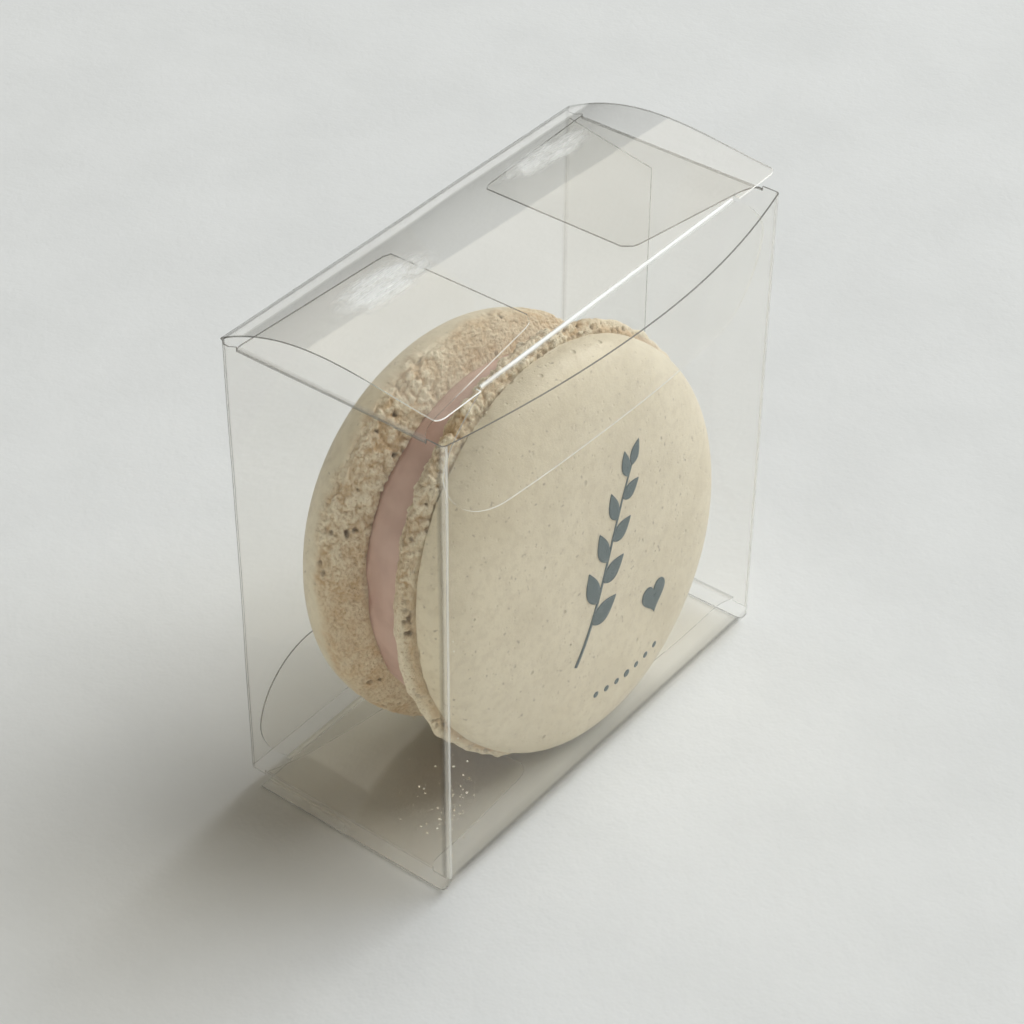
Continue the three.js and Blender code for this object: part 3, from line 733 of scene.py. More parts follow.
def makeTuck():
    top = float(lidHeight(np.array(lid["foldY"])))
    turn = np.linspace(0, math.pi / 2, bendSteps + 1)
    hangY = lid["foldY"] - tuck["bend"]
    bendY = hangY + tuck["bend"] * (1 - np.sin(turn))
    bendZ = top - tuck["bend"] * (1 - np.cos(turn))
    length = tuck["depth"] - tuck["bend"]
    down = downRows(length, sleeve["tuckCorner"], 14)[1:]
    z = np.concatenate([bendZ, bendZ[-1] - down])
    left, right = tuckSides(down, length, *tuck["fold"])
    left = np.concatenate([np.full(len(turn), tuck["fold"][0]), left])
    right = np.concatenate([np.full(len(turn), tuck["fold"][1]), right])
    share = np.linspace(0, 1, 60)
    x = left[None, :] + share[:, None] * (right - left)[None, :]
    lowY = box["film"] + tuck["standOff"] + inset - frontBow(x, z[-1])
    shareDown = np.concatenate([np.zeros(len(turn)), down / length])
    y = lerp(np.concatenate([bendY, np.full(len(down), hangY)])[None, :], lowY, shareDown[None, :])
    grid = np.stack([x, y, np.broadcast_to(z, x.shape)], -1)
    # the fold is drawn white, unevenly: crease whitening and a painted highlight
    crease = np.zeros_like(z)
    crease[:len(turn)] = np.sin(np.linspace(0.2, math.pi * 0.95, len(turn)))
    pale = crease[None, :] * (0.82 + 0.35 * softNoise(grid, 4.0, 31))
    atFold = lambda points: points[:, 2] > top - 0.05
    piece = filmPiece("film_tuck", [(grid, np.clip(pale, 0, 1), 0.0, True)], "tuck", clearFilm, tuckEdgeTone, atFold)
    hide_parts("tuck_flap")


makeLid()
makeTuck()
print("lid and tuck flap made")

def closedGrid(around, rows):
    # faces of a grid that closes on itself, with a point at each end; the two end points come last
    count = around * rows
    last = (around - 1) * rows + np.arange(rows - 1)
    seam = np.stack([last, np.arange(rows - 1), np.arange(1, rows), last + 1], -1)
    i = np.arange(around)
    j = (i + 1) % around
    low = np.stack([np.full(around, count), j * rows, i * rows], -1)
    high = np.stack([np.full(around, count + 1), i * rows + rows - 1, j * rows + rows - 1], -1)
    return np.concatenate([gridQuads(around, rows), seam]), np.concatenate([low, high])


# The macaron. Each half is worked out about its own axis: local x to the right, y up, and z out from
# the filling, then turned to lean in the box

lean = math.radians(7.7)
backHalf = {
    "name": "shell_back",
    "centre": np.array([24.95, 15.53, 19.94]),
    "turn": math.radians(-6.1),
    "tilt": lean,
    "faces": -1,
    "radius": 20.9,
    "dome": 7.0,
    "rimAlong": -0.67,
    "foot": {"depth": 2.25, "radius": 20.8, "inner": 17.6, "fullness": 0.4, "tuckIn": 0.1, "groove": 0.0,
             "pressedTo": 20.5},
    "seed": 41,
    "dents": (),
}
frontHalf = {
    "name": "shell_front",
    "centre": np.array([27.45, 15.05, 18.35]),
    "turn": math.radians(-2.2),
    "tilt": lean + math.radians(0.8),
    "faces": 1,
    "radius": 21.05,
    "dome": 6.6,
    "rimAlong": 7.0,
    "foot": {"depth": 2.3, "radius": 22.2, "inner": 20.0, "fullness": 1.0, "tuckIn": 1.0, "groove": 0.55,
             "pressedTo": 20.55},
    "seed": 13,
    "dents": ((-15.1, 0.7, 1.3, 0.12), (-20.3, -8.5, 1.0, 0.12), (-9.0, -3.0, 0.9, 0.07), (1.0, -16.5, 0.9, 0.07)),
}
domeShape = {"power": 3.4, "rim": 2.13, "wave": 0.1}
aroundSteps = 960


def halfAxes(half):
    # the half's own axes in the box's frame: right, up, and out from the filling
    turn, tilt = half["turn"], half["tilt"]
    toFront = np.array([math.sin(turn) * math.cos(tilt), -math.cos(turn) * math.cos(tilt), math.sin(tilt)])
    right = np.array([math.cos(turn), math.sin(turn), 0.0])
    up = np.cross(right, -toFront)
    return right, up, toFront * half["faces"], toFront


def placeHalf(half, local):
    right, up, out, toFront = halfAxes(half)
    origin = half["centre"] + half["rimAlong"] * toFront
    return origin + local[..., :1] * right + local[..., 1:2] * up + local[..., 2:] * out


def domeWave(local, seed):
    # the dome is a little uneven: a broad soft noise, none at the rim's own height
    return domeShape["wave"] * softNoise(local, 13.0, seed)


def gridNormals(grid):
    # the cross product of the steps along and across the grid, which closes on itself in its first index
    along = np.roll(grid, -1, 0) - np.roll(grid, 1, 0)
    across = np.gradient(grid, axis=1)
    normal = np.cross(along, across)
    return normal / np.maximum(np.linalg.norm(normal, axis=-1, keepdims=True), 1e-9)


def halfProfile(half):
    # radius, height and foot weight of each ring: the underside, the foot, the groove, and the dome
    foot = half["foot"]
    s = np.linspace(0, 1, 56)
    share = np.sin(s * math.pi / 2)
    footR = lerp(foot["inner"], foot["radius"], share) - foot["tuckIn"] * smooth(0.72, 1, s) ** 1.5
    footZ = -foot["depth"] * lerp(1 - share, np.sqrt(1 - share**2), foot["fullness"])
    t = np.linspace(0, 1, 9)[1:]
    lipR = lerp(footR[-1], half["radius"] - 0.02, t**2) - foot["groove"] * np.sin(math.pi * t) ** 2
    lipZ = lerp(footZ[-1], 0.5, t)
    lift = np.linspace(math.asin(0.5 / half["dome"]), math.pi / 2 * 0.992, 33)[1:]
    domeT = np.sin(lift)
    domeR = half["radius"] * (1 - domeT ** domeShape["power"]) ** (1 / domeShape["rim"])
    underR = np.array([6.0, 12.0, foot["inner"] - 0.8])
    radius = np.concatenate([underR, footR, lipR, domeR])
    height = np.concatenate([np.full(3, footZ[0]), footZ, lipZ, half["dome"] * domeT])
    weight = np.concatenate([[0, 0, 0.4], np.ones(56), np.linspace(0.9, 0, 8), np.zeros(32)])
    return radius, height, weight


def crumbs3d(local, size, seed):
    # round crumbs packed side by side: each a half ball about its own strewn middle, from 0 to 1
    near, own = cellNoise(local, size, seed)
    return np.sqrt(np.clip(1 - (near / 0.62) ** 2, 0, None)), own


def puffs(local, size, seed):
    # billows: |noise| is round on top and has sharp, winding creases; from 0 to 1
    return np.clip(np.abs(softNoise(local, size, seed)) * 2.4, 0, 1)


def footRelief(local, half, weight):
    # big and small crumbs, soft lumps and open pores, coarser towards the upper left, where the foot
    # has burst as it rose; gives the relief in mm, the pores, how coarse it is, and crumb tops, by which
    # the material paints a highlight on the crumbs and shade between them
    seed = half["seed"]
    clock = np.arctan2(local[..., 1], local[..., 0])
    burst = np.exp(-(((clock - math.radians(128)) / 0.55) ** 2))
    top = np.exp(-(((clock - math.radians(88)) / 0.4) ** 2))
    patchy = smooth(-0.4, 0.5, softNoise(local, 5.0, seed + 3))
    bent = local + 0.12 * softNoise(local, 0.6, seed + 2)[..., None]
    bent = bent + 0.09 * softNoise(local, 0.28, seed + 4)[..., None]
    big, ownBig = crumbs3d(bent, 1.15, seed + 5)
    mid, ownMid = crumbs3d(bent, 0.62, seed + 11)
    fine, _ = crumbs3d(local, 0.34, seed + 23)
    big = 0.45 * big + 0.55 * puffs(bent, 1.1, seed + 31)
    mid = 0.35 * mid + 0.65 * puffs(bent, 0.55, seed + 32)
    nearPore, ownPore = cellNoise(bent + 0.1 * softNoise(local, 0.35, seed + 33)[..., None], 1.0, seed + 17)
    lumps = 0.14 * softNoise(local, 2.1, seed) + 0.08 * softNoise(local, 0.9, seed + 1)
    if half["faces"] > 0:
        coarse = np.clip(0.22 + 0.9 * burst + 0.55 * top + 0.15 * patchy, 0, 1.15)
        chosen = ownPore > lerp(0.9, 0.78, np.clip(coarse, 0, 1))
    else:
        coarse = np.clip(0.18 + 0.75 * burst * (0.6 + 0.4 * patchy) + 0.12 * patchy, 0, 1)
        chosen = ownPore > 0.86
    bigShare = smooth(0.35, 0.9, coarse)
    shape = lerp(0.03, 0.5, bigShare) * (big * (0.4 + 0.6 * ownBig) - 0.35)
    shape = shape + lerp(0.07, 0.3, coarse) * (mid * (0.5 + 0.5 * ownMid) - 0.35) + 0.09 * (fine - 0.4)
    pore = smooth(0.2 + 1.2 * (ownPore - 0.78), 0.1, nearPore) * chosen * weight
    tops = np.clip(0.5 + shape / lerp(0.28, 0.75, bigShare), 0, 1)
    if half["faces"] > 0:
        # away from the burst the front foot is a smooth, wavy ruffle, with pores in the groove behind it
        ruffle = smooth(0.55, 0.3, coarse)
        atGroove = np.exp(-(((local[..., 2] + 0.15) / 0.35) ** 2))
        shape = lerp(shape, 0.3 * shape + 0.22 * softNoise(local * (1, 1, 0.3), 1.6, seed + 41), ruffle)
        # on the ruffle, tops rises towards the filling, so the material paints it paler there: painted highlight
        tops = lerp(tops, 0.3 * tops + 0.15 + 0.6 * smooth(0.0, -0.6, local[..., 2]), ruffle)
        holes = smooth(0.28, 0.5, softNoise(bent, 0.42, seed + 42)) * atGroove * ruffle
        holes = holes * smooth(-0.35, 0.25, softNoise(local, 2.4, seed + 43))
        pore = np.maximum(pore * (1 - 0.8 * ruffle), 0.9 * holes * smooth(0.0, 0.3, weight))
        coarse = np.maximum(coarse, 0.8 * ruffle * smooth(0.0, -0.6, local[..., 2]))
    relief = (lumps * (0.5 + 0.6 * coarse) + shape) * weight - 0.5 * pore
    return relief, pore, coarse, tops


def makeHalf(half, material):
    radius, height, weight = halfProfile(half)
    angle = np.arange(aroundSteps) / aroundSteps * 2 * math.pi
    x = np.cos(angle)[:, None] * radius[None, :]
    y = np.sin(angle)[:, None] * radius[None, :]
    local = np.stack([x, y, np.broadcast_to(height, x.shape)], -1)
    weight = np.broadcast_to(weight, x.shape)
    if half["faces"] < 0:
        # no lip here: the crumb dies out unevenly on the way up the dome
        reach = 1.1 + 0.9 * softNoise(local, 3.0, 5) + 0.5 * softNoise(local, 1.0, 6)
        weight = np.where(local[..., 2] > -1.2, smooth(reach + 0.7, reach - 1.1, local[..., 2]), weight)
    relief, pore, coarse, tops = footRelief(local, half, weight)
    relief = relief + (1 - weight) * domeWave(local, half["seed"]) * (local[..., 2] > 0.3)
    for dentX, dentY, reach, depth in half["dents"]:
        away = np.hypot(local[..., 0] - dentX, local[..., 1] - dentY) / reach
        relief = relief - depth * np.exp(-(away**2)) * (local[..., 2] > 0.3)
    rim = smooth(1.6, 0.3, local[..., 2]) * (local[..., 2] > -0.05)
    relief = relief + 0.05 * rim * softNoise(local, 0.9, half["seed"] + 9)
    local = local + gridNormals(local) * relief[..., None]
    # where it stands on its foot, the foot is pressed flat
    local[..., 1] = np.maximum(local[..., 1], -half["foot"]["pressedTo"] - 0.06 * weight)
    points = placeHalf(half, local)
    rows = len(radius)
    grid = points.reshape(-1, 3)
    ends = placeHalf(half, np.array([[0, 0, height[0]], [0, 0, half["dome"]]], float))
    ends[1] = grid[rows - 1::rows].mean(0)
    quads, triangles = closedGrid(aroundSteps, rows)
    if half["faces"] < 0:
        quads, triangles = quads[:, ::-1], triangles[:, ::-1]
    withEnds = lambda values: np.concatenate([np.asarray(values, float).ravel(), [0, 0]])
    attributes = {
        "foot": withEnds(weight), "pore": withEnds(pore), "coarse": withEnds(coarse), "tops": withEnds(tops),
    }
    name = half["name"] + "_baked"
    allPoints = np.concatenate([grid, ends])
    piece = makePiece(name, allPoints, quads, triangles, [material], "box", attributes)
    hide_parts(half["name"])


shellLook = {
    "ivory": (0.775, 0.70, 0.54, 1),
    "ivoryDeep": (0.71, 0.635, 0.48, 1),
    "freckle": (0.40, 0.33, 0.23, 1),
    "speckle": (0.62, 0.54, 0.40, 1),
    # the crumbs' tops: painted highlight
    "crumbTopHighlight": (0.88, 0.79, 0.61, 1),
    "foot": (0.74, 0.61, 0.43, 1),
    # low between the crumbs: painted shade
    "creviceShade": (0.50, 0.34, 0.175, 1),
    "toast": (0.62, 0.42, 0.22, 1),
    # in the pores: painted shade
    "pore": (0.20, 0.13, 0.075, 1),
    "roughness": (0.4, 0.6),
}


def makeShellMaterial(name, toasted):
    material, tree = newMaterial(name)
    place = objectPlace(tree)
    foot, pore = attributeOf(tree, "foot"), attributeOf(tree, "pore")
    tops, coarse = attributeOf(tree, "tops"), attributeOf(tree, "coarse")
    # the smooth crust: broad clouds, fine mottling, small pale brown specks and a few darker ones
    broad = rangeOf(tree, noiseAt(tree, place, 6.0, 3.0), 0.35, 0.7)
    colour = mixColour(tree, broad, shellLook["ivory"], shellLook["ivoryDeep"])
    mottle = rangeOf(tree, noiseAt(tree, place, 0.9, 3.0, 0.6), 0.42, 0.66, 0.0, 0.4)
    colour = mixColour(tree, mottle, colour, shellLook["speckle"])
    freckle = rangeOf(tree, noiseAt(tree, place, 0.5, 2.0), 0.655, 0.75, 0.0, 0.75)
    colour = mixColour(tree, freckle, colour, shellLook["freckle"])
    pitMask, pitHeight = pitsAt(tree, place, 1.7, 0.35, 0.15)
    fineMask, fineHeight = pitsAt(tree, place, 0.62, 0.4, 0.24)
    # the pits are painted darker with the freckle and speckle colours: painted shade in them, besides their bump
    colour = mixColour(tree, maths(tree, "MULTIPLY", pitMask, 0.5), colour, shellLook["freckle"])
    colour = mixColour(tree, maths(tree, "MULTIPLY", fineMask, 0.3), colour, shellLook["speckle"])
    # the foot: tan with toasted patches, cream on the crumbs' tops where it is coarse as painted highlight,
    # brown low between the crumbs and in the pores as painted shade
    toastShare = maths(tree, "MULTIPLY", rangeOf(tree, noiseAt(tree, place, 2.4, 4.0, 0.6), 0.4, 0.66), toasted)
    footColour = mixColour(tree, toastShare, shellLook["foot"], shellLook["toast"])
    low = rangeOf(tree, tops, 0.55, 0.05)
    footColour = mixColour(tree, maths(tree, "MULTIPLY", low, 0.85), footColour, shellLook["creviceShade"])
    high = maths(tree, "MULTIPLY", rangeOf(tree, tops, 0.4, 0.85), rangeOf(tree, coarse, 0.15, 0.75, 0.25, 0.95))
    footColour = mixColour(tree, high, footColour, shellLook["crumbTopHighlight"])
    # fine specks of painted shade, in the crevices' brown, over the foot's grain
    grainSpeck = rangeOf(tree, noiseAt(tree, place, 0.32, 3.0, 0.7), 0.52, 0.7, 0.0, 0.7)
    footColour = mixColour(tree, grainSpeck, footColour, shellLook["creviceShade"])
    colour = mixColour(tree, foot, colour, footColour)
    # the pores painted dark brown: painted shade in the holes
    colour = mixColour(tree, maths(tree, "MULTIPLY", pore, 0.85), colour, shellLook["pore"])
    grain = noiseAt(tree, place, 0.28, 4.0, 0.65)
    crumb = noiseAt(tree, place, 0.2, 3.0, 0.7)
    grainHeight = maths(tree, "MULTIPLY", grain, maths(tree, "ADD", maths(tree, "MULTIPLY", foot, 3.0), 0.7))
    height = maths(tree, "ADD", grainHeight, maths(tree, "MULTIPLY", pitHeight, 2.2))
    height = maths(tree, "ADD", height, maths(tree, "MULTIPLY", fineHeight, 0.8))
    height = maths(tree, "ADD", height, maths(tree, "MULTIPLY", crumb, maths(tree, "MULTIPLY", foot, 1.4)))
    bump = addNode(tree, "ShaderNodeBump", Height=height, Distance=0.00007, Strength=0.9)
    rough = rangeOf(tree, grain, 0.3, 0.7, *shellLook["roughness"])
    rough = maths(tree, "ADD", rough, maths(tree, "MULTIPLY", foot, 0.25), clamp=True)
    shader = addNode(
        tree, "ShaderNodeBsdfPrincipled", Roughness=rough, Normal=bump.outputs[0], **{"Base Color": colour}
    )
    shader.inputs["Specular IOR Level"].default_value = 0.5
    addNode(tree, "ShaderNodeOutputMaterial", Surface=shader.outputs[0])
    return material


makeHalf(backHalf, makeShellMaterial("bakedShellBack", 0.75))
makeHalf(frontHalf, makeShellMaterial("bakedShellFront", 0.6))
print("shells made")

# The filling: a soft disc between the two halves, wider at one side because they aren't parallel

filling = {"radius": 18.3, "bulge": 0.3, "overlap": 0.12, "around": 480, "band": 26}


def makeFilling(material):
    # along each spoke the rim runs from the back foot's underside to the front foot's
    backRight, backUp, _, backOut = halfAxes(backHalf)
    _, _, _, frontOut = halfAxes(frontHalf)
    backPlane = backHalf["centre"] + backOut * (
        backHalf["rimAlong"] + backHalf["foot"]["depth"] + 0.0 - filling["overlap"]
    )
    frontPlane = frontHalf["centre"] + frontOut * (
        frontHalf["rimAlong"] - frontHalf["foot"]["depth"] + filling["overlap"]
    )
    middle = lerp(backHalf["centre"], frontHalf["centre"], 0.4)
    angle = np.arange(filling["around"]) / filling["around"] * 2 * math.pi
    band = np.linspace(0, 1, filling["band"])
    caps = np.array([0.35, 0.7, 0.92])
    reach = np.concatenate([caps, np.ones(len(band)), caps[::-1]])
    share = np.concatenate([np.zeros(3), band, np.ones(3)])
    bulge = np.concatenate([np.zeros(3), np.sin(math.pi * band) ** 0.6, np.zeros(3)])
    angle, reach = np.meshgrid(angle, reach, indexing="ij")
    uneven = 0.22 * np.sin(3 * angle + 1) + 0.12 * np.sin(7 * angle + 2) + 0.06 * np.sin(17 * angle + 4)
    radius = filling["radius"] * reach + (filling["bulge"] * bulge + uneven) * (reach > 0.99)
    spoke = middle + radius[..., None] * (
        np.cos(angle)[..., None] * backRight + np.sin(angle)[..., None] * backUp
    )
    toBack = (backPlane - spoke) @ backOut
    toFront = ((frontPlane - spoke) @ frontOut) / (backOut @ frontOut)
    points = spoke + lerp(toBack, toFront, share[None, :])[..., None] * backOut
    soft = softNoise(points, 2.4, 77) * 0.07 + softNoise(points, 0.9, 78) * 0.02
    outwards = (points - middle) / np.linalg.norm(points - middle, axis=-1, keepdims=True)
    points = points + outwards * (soft * (reach > 0.99))[..., None]
    rows = points.shape[1]
    grid = points.reshape(-1, 3)
    ends = np.stack([points[:, 0].mean(0), points[:, -1].mean(0)])
    quads, triangles = closedGrid(filling["around"], rows)
    # painted shade along the filling's edge where it meets the back shell, with a ragged width
    ragged = 0.1 + 0.05 * softNoise(points, 1.3, 79) + 0.03 * softNoise(points, 0.5, 80)
    gapShade = np.broadcast_to(smooth(ragged * 1.5, ragged * 0.6, share[None, :]), ragged.shape)
    piece = makePiece(
        "filling_cream", np.concatenate([grid, ends]), quads, triangles, [material], "box",
        {"gapShade": np.concatenate([gapShade.ravel(), [1, 0]])},
    )
    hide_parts("filling")
    return piece


# the last colour is that of the painted shade along the filling's edge by the back shell
creamLook = {"pink": (0.62, 0.43, 0.365, 1), "deep": (0.52, 0.34, 0.28, 1), "gapShade": (0.36, 0.19, 0.14, 1)}


def makeCream():
    material, tree = newMaterial("pinkCream")
    place = objectPlace(tree)
    shade = rangeOf(tree, noiseAt(tree, place, 3.0, 3.0), 0.35, 0.7)
    colour = mixColour(tree, shade, creamLook["pink"], creamLook["deep"])
    # painted shade darkens the filling along its edge by the back shell
    colour = mixColour(tree, maths(tree, "MULTIPLY", attributeOf(tree, "gapShade"), 0.7), colour, creamLook["gapShade"])
    bump = addNode(tree, "ShaderNodeBump", Height=noiseAt(tree, place, 0.5, 3.0), Distance=0.00005, Strength=0.5)
    shader = addNode(tree, "ShaderNodeBsdfPrincipled", Normal=bump.outputs[0], **{"Base Color": colour})
    shader.inputs["Roughness"].default_value = 0.5
    addNode(tree, "ShaderNodeOutputMaterial", Surface=shader.outputs[0])
    return material


makeFilling(makeCream())
print("filling made")

# The print on the front shell: a leafy sprig, a small heart and a row of dots in blue-grey ink

inkPrint = {
    "lift": 0.035,
    "thickness": 0.03,
    "stem": ((-6.2, -8.8), (-1.5, -2.6), (0.2, 3.6), (5.4, 9.2)),
    "stemWidth": 0.4,
    "leaf": (4.5, 1.15),
    "heart": (6.0, -7.6, 2.1),
    "dots": (-3.2, 6.4, -14.6, 7),
    "dotRadius": 0.34,
}


def domePoint(xy):
    # lifts points given across the front dome onto it: z = dome * (1 - (r / radius)^rim)^(1 / power)
    r = np.linalg.norm(xy, axis=-1)
    z = frontHalf["dome"] * (1 - (r / frontHalf["radius"]) ** domeShape["rim"]) ** (1 / domeShape["power"])
    local = np.concatenate([xy, z[..., None]], -1)
    step = 1e-3
    rise = frontHalf["dome"] * (1 - ((r + step) / frontHalf["radius"]) ** domeShape["rim"]) ** (
        1 / domeShape["power"]
    )
    slope = (rise - z) / step
    radial = xy / np.maximum(r, 1e-6)[..., None]
    normal = np.concatenate([-radial * slope[..., None], np.ones_like(z)[..., None]], -1)
    normal /= np.linalg.norm(normal, axis=-1, keepdims=True)
    lift = inkPrint["lift"] + domeWave(local, frontHalf["seed"])
    return placeHalf(frontHalf, local + normal * lift[..., None])


def bezier(points, t):
    # (1-t)^3 a + 3 (1-t)^2 t b + 3 (1-t) t^2 c + t^3 d
    a, b, c, d = (np.array(p) for p in points)
    t = np.asarray(t)[..., None]
    return (1 - t) ** 3 * a + 3 * (1 - t) ** 2 * t * b + 3 * (1 - t) * t**2 * c + t**3 * d


def leafGrid(base, direction, length, width, curl):
    # a leaf: half width = width * sin(pi * v^0.8) across a midrib that bends by curl * v^2
    u, v = np.meshgrid(np.linspace(-1, 1, 7), np.linspace(0.02, 0.98, 16), indexing="ij")
    along = np.array([math.cos(direction), math.sin(direction)])
    across = np.array([-along[1], along[0]])
    half = width * np.sin(math.pi * v**0.8) * u
    return base + (length * v)[..., None] * along + (half + curl * v**2)[..., None] * across


def makePrint(material):
    grids = []
    t = np.linspace(0, 0.97, 40)
    line = bezier(inkPrint["stem"], t)
    ahead = np.gradient(line, axis=0)
    ahead /= np.linalg.norm(ahead, axis=-1, keepdims=True)
    side = np.stack([-ahead[:, 1], ahead[:, 0]], -1)
    width = inkPrint["stemWidth"] * (1 - 0.55 * t)
    across = np.linspace(-0.5, 0.5, 4)
    grids.append(line[None] + across[:, None, None] * (side * width[:, None])[None])
    length, breadth = inkPrint["leaf"]
    for k, at in enumerate(np.linspace(0.2, 0.9, 8)):
        base = bezier(inkPrint["stem"], at)
        step = bezier(inkPrint["stem"], at + 0.02) - base
        heading = math.atan2(step[1], step[0])
        way = 1 if k % 2 else -1
        size = 1.0 - 0.45 * at
        grids.append(leafGrid(base, heading + way * 0.82, length * size, breadth * size, -way * 0.5))
    tip = bezier(inkPrint["stem"], 0.95)
    step = bezier(inkPrint["stem"], 1.0) - tip
    grids.append(leafGrid(tip, math.atan2(step[1], step[0]), length * 0.6, breadth * 0.55, 0.0))
    # a heart: x = 16 sin^3 a, y = 13 cos a - 5 cos 2a - 2 cos 3a - cos 4a, drawn out from its middle
    cx, cy, size = inkPrint["heart"]
    a = np.linspace(0, 2 * math.pi, 49)
    outline = np.stack(
        [16 * np.sin(a) ** 3, 13 * np.cos(a) - 5 * np.cos(2 * a) - 2 * np.cos(3 * a) - np.cos(4 * a)], -1
    ) * size / 17
    ring = np.linspace(0.03, 1, 5)
    grids.append(np.array([cx, cy]) + ring[:, None, None] * outline[None])
    low, high, level, number = inkPrint["dots"]
    circle = np.stack([np.cos(a), np.sin(a)], -1) * inkPrint["dotRadius"]
    for k, x in enumerate(np.linspace(low, high, number)):
        grids.append(np.array([x, level + 0.05 * (k - 3) ** 2]) + ring[:, None, None] * circle[None] * (1.25 if k == 3 else 1))
    points, _, _, quads = weldPatches([(domePoint(grid), 0.0, 0.0, False) for grid in grids])
    piece = makePiece("printed_sprig", points, quads, [], [material], "box")
    skin = piece.modifiers.new("thickness", "SOLIDIFY")
    skin.thickness = inkPrint["thickness"] * mm
    skin.offset = -1
    return piece


inkLook = {"ink": (0.075, 0.115, 0.125, 1), "worn": (0.16, 0.20, 0.20, 1)}


def makeInk():
    material, tree = newMaterial("blueGreyInk")
    place = objectPlace(tree)
    worn = rangeOf(tree, noiseAt(tree, place, 0.5, 4.0, 0.7), 0.52, 0.75, 0.0, 0.8)
    colour = mixColour(tree, worn, inkLook["ink"], inkLook["worn"])
    bump = addNode(tree, "ShaderNodeBump", Height=noiseAt(tree, place, 0.28, 4.0), Distance=0.00003, Strength=0.6)
    shader = addNode(tree, "ShaderNodeBsdfPrincipled", Normal=bump.outputs[0], **{"Base Color": colour})
    shader.inputs["Roughness"].default_value = 0.55
    shader.inputs["Specular IOR Level"].default_value = 0.3
    addNode(tree, "ShaderNodeOutputMaterial", Surface=shader.outputs[0])
    return material


makePrint(makeInk())
print("print made")

# Crumbs that have come off the feet: on the bottom panel, and clinging to the film by the near corner

crumbs = {"onPanel": 40, "onFront": 46, "onSide": 24, "size": (0.03, 0.1), "seed": 8}


def makeCrumbs(material):
    # each crumb is a ball of 8 by 6 points whose radius is uneven
    rng = np.random.default_rng(crumbs["seed"])
    places = []
    for _ in range(crumbs["onPanel"]):
        places.append([rng.uniform(3, 46), rng.uniform(3.5, 22), -box["drop"] + box["film"] + 0.08])
    for _ in range(crumbs["onFront"]):
        z = rng.normal(9.5, 2.2) if rng.random() < 0.6 else abs(rng.normal(0, 14)) + 1.0
        places.append([abs(rng.normal(0, 1.5)) + 0.6, box["film"] + 0.12, min(z, 36)])
    for _ in range(crumbs["onSide"]):
        z = rng.normal(9.0, 2.0) if rng.random() < 0.6 else abs(rng.normal(0, 14)) + 1.0
        places.append([box["film"] + 0.12, abs(rng.normal(0, 2)) + 0.7, min(z, 40)])
    places = np.array(places)
    number = len(places)
    size = rng.uniform(*crumbs["size"], number)
    azimuth = np.arange(8) / 8 * 2 * math.pi
    polar = np.linspace(0.35, math.pi - 0.35, 6)
    azimuth, polar = np.meshgrid(azimuth, polar, indexing="ij")
    ball = np.stack([np.sin(polar) * np.cos(azimuth), np.sin(polar) * np.sin(azimuth), np.cos(polar)], -1)
    uneven = rng.uniform(0.7, 1.25, (number, 8, 6))
    squeeze = rng.uniform(0.6, 1.3, (number, 1, 1, 3))
    points = places[:, None, None] + ball[None] * uneven[..., None] * squeeze * size[:, None, None, None]
    points[..., 2] = np.maximum(points[..., 2], -box["drop"] + box["film"] + 0.01)
    poles = np.stack([points[:, :, 0].mean(1), points[:, :, 5].mean(1)], 1)
    i, j = np.meshgrid(np.arange(8), np.arange(5), indexing="ij")
    nextI = (i + 1) % 8
    quad = np.stack([i * 6 + j, i * 6 + j + 1, nextI * 6 + j + 1, nextI * 6 + j], -1).reshape(-1, 4)
    ring, nextRing = np.arange(8), (np.arange(8) + 1) % 8
    cap = np.concatenate([
        np.stack([np.full(8, 48), ring * 6, nextRing * 6], -1),
        np.stack([np.full(8, 49), nextRing * 6 + 5, ring * 6 + 5], -1),
    ])
    whole = np.concatenate([points.reshape(number, 48, 3), poles], 1)
    offset = np.arange(number)[:, None, None] * 50
    return makePiece(
        "loose_crumbs", whole.reshape(-1, 3), (quad[None] + offset).reshape(-1, 4),
        (cap[None] + offset).reshape(-1, 3), [material], "box",
    )


def makeCrumbMaterial():
    material, tree = newMaterial("paleCrumb")
    place = objectPlace(tree)
    shade = rangeOf(tree, noiseAt(tree, place, 0.6, 2.0), 0.35, 0.7)
    colour = mixColour(tree, shade, (0.92, 0.90, 0.83, 1), (0.78, 0.68, 0.50, 1))
    shader = addNode(tree, "ShaderNodeBsdfPrincipled", **{"Base Color": colour})
    shader.inputs["Roughness"].default_value = 0.8
    addNode(tree, "ShaderNodeOutputMaterial", Surface=shader.outputs[0])
    return material


makeCrumbs(makeCrumbMaterial())
print("crumbs made")

# The room: a pale floor, a window to the right, a soft light above, and the camera

view = {
    "eye": (-141.86, -116.38, 191.42),
    "aim": (20.06, 8.36, 27.51),
    "roll": 0.433,
    "focal": 98.59,
}
# azimuth from +x towards +y and elevation, in degrees, of each light's middle, and how wide and how high
# it looks from the box
lights = {
    "window": {"azimuth": -21, "elevation": 41, "across": 50, "upright": 46, "radiance": 5.15,
               "colour": (0.97, 1.0, 1.03)},
    "skylight": {"azimuth": 29, "elevation": 47, "across": 46, "upright": 32, "radiance": 0.85,
                 "colour": (1.05, 1.0, 0.88)},
}
lightDistance = 3.0
roomLook = {
    "wall": (0.40, 0.34, 0.25, 1),
    "nearWall": (2.75, 2.65, 2.3, 1),
    "nearAzimuth": 186,
    "ceiling": (0.06, 0.052, 0.04, 1),
    "dim": (0.03, 0.028, 0.024, 1),
    "dimAzimuth": 46,  # the room is dark this way, below the skylight
}


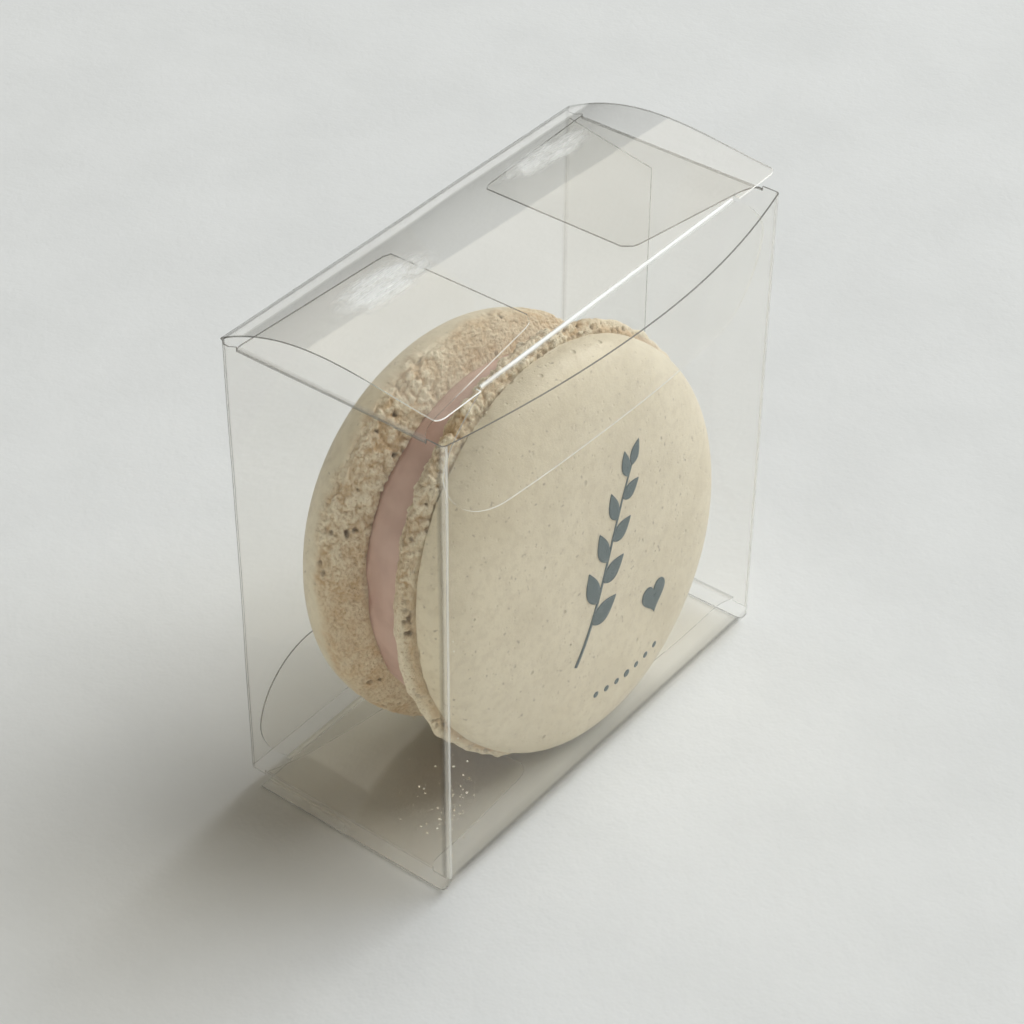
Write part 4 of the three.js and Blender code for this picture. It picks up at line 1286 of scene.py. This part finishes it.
def makeCamera():
    data = bpy.data.cameras.new("camera")
    data.sensor_width = 36
    data.lens = view["focal"]
    data.clip_start, data.clip_end = 0.01, 20
    camera = bpy.data.objects.new("camera", data)
    bpy.context.scene.collection.objects.link(camera)
    eye = Vector(np.array(view["eye"]) * mm + boxOrigin)
    aim = Vector(np.array(view["aim"]) * mm + boxOrigin)
    turn = (aim - eye).to_track_quat("-Z", "Y").to_matrix() @ Matrix.Rotation(math.radians(view["roll"]), 3, "Z")
    camera.matrix_world = Matrix.Translation(eye) @ turn.to_4x4()
    bpy.context.scene.camera = camera


def makeLight(name, look):
    azimuth, elevation = math.radians(look["azimuth"]), math.radians(look["elevation"])
    data = bpy.data.lights.new(name, "AREA")
    data.shape = "RECTANGLE"
    data.size = 2 * lightDistance * math.tan(math.radians(look["across"] / 2))
    data.size_y = 2 * lightDistance * math.tan(math.radians(look["upright"] / 2))
    data.energy = look["radiance"] * math.pi * data.size * data.size_y
    data.color = look["colour"]
    light = bpy.data.objects.new(name, data)
    bpy.context.scene.collection.objects.link(light)
    light.visible_camera = False
    direction = Vector(
        (math.cos(elevation) * math.cos(azimuth), math.cos(elevation) * math.sin(azimuth), math.sin(elevation))
    )
    middle = Vector(np.array([25.0, 12.5, 15.0]) * mm + boxOrigin)
    light.location = middle + direction * lightDistance
    light.rotation_euler = direction.to_track_quat("Z", "Y").to_euler()


def makeWorld():
    # a warm room, paler along the walls than overhead, brightest low down on the viewer's side, and dark
    # one way below about 31 degrees
    world = bpy.data.worlds.new("room")
    world.use_nodes = True
    tree = world.node_tree
    background = tree.nodes["Background"]
    direction = tree.nodes.new("ShaderNodeTexCoord").outputs["Generated"]
    towards = lambda azimuth: addNode(
        tree, "ShaderNodeVectorMath", {"operation": "DOT_PRODUCT"},
        n0=direction, n1=(math.cos(math.radians(azimuth)), math.sin(math.radians(azimuth)), 0.0),
    ).outputs["Value"]
    toDim = towards(roomLook["dimAzimuth"])
    height = addNode(tree, "ShaderNodeSeparateXYZ", Vector=direction).outputs["Z"]
    dim = maths(tree, "MULTIPLY", rangeOf(tree, toDim, 0.45, 0.75), rangeOf(tree, height, 0.56, 0.48))
    wall = mixColour(
        tree, rangeOf(tree, towards(roomLook["nearAzimuth"]), 0.0, 0.6), roomLook["wall"], roomLook["nearWall"]
    )
    room = mixColour(tree, rangeOf(tree, height, 0.1, 0.28), wall, roomLook["ceiling"])
    tree.links.new(mixColour(tree, dim, room, roomLook["dim"]), background.inputs["Color"])
    bpy.context.scene.world = world


def makeFloor():
    material, tree = newMaterial("paperFloor")
    place = objectPlace(tree)
    shade = rangeOf(tree, noiseAt(tree, place, 16.0, 3.0, 0.6), 0.3, 0.75)
    colour = mixColour(tree, shade, (0.80, 0.81, 0.795, 1), (0.765, 0.775, 0.76, 1))
    height = noiseAt(tree, place, 1.4, 2.0, 0.7)
    bump = addNode(tree, "ShaderNodeBump", Height=height, Distance=0.00015, Strength=0.35)
    shader = addNode(tree, "ShaderNodeBsdfPrincipled", Normal=bump.outputs[0], **{"Base Color": colour})
    shader.inputs["Roughness"].default_value = 0.9
    shader.inputs["Specular IOR Level"].default_value = 0.15
    addNode(tree, "ShaderNodeOutputMaterial", Surface=shader.outputs[0])
    mesh = bpy.data.meshes.new("floor")
    half = 2.0
    mesh.from_pydata([(-half, -half, -0.00005), (half, -half, -0.00005), (half, half, -0.00005), (-half, half, -0.00005)], [], [(0, 1, 2, 3)])
    mesh.materials.append(material)
    floor = bpy.data.objects.new("floor", mesh)
    bpy.context.scene.collection.objects.link(floor)


def makeRoom():
    makeWorld()
    for name, look in lights.items():
        makeLight(name, look)
    makeFloor()
    scene = bpy.context.scene
    scene.view_settings.view_transform = "Standard"
    scene.cycles.transparent_max_bounces = 48
    scene.cycles.max_bounces = 6
    scene.cycles.diffuse_bounces = 3


makeCamera()
makeRoom()
print("room made")

bpy.context.view_layer.update()
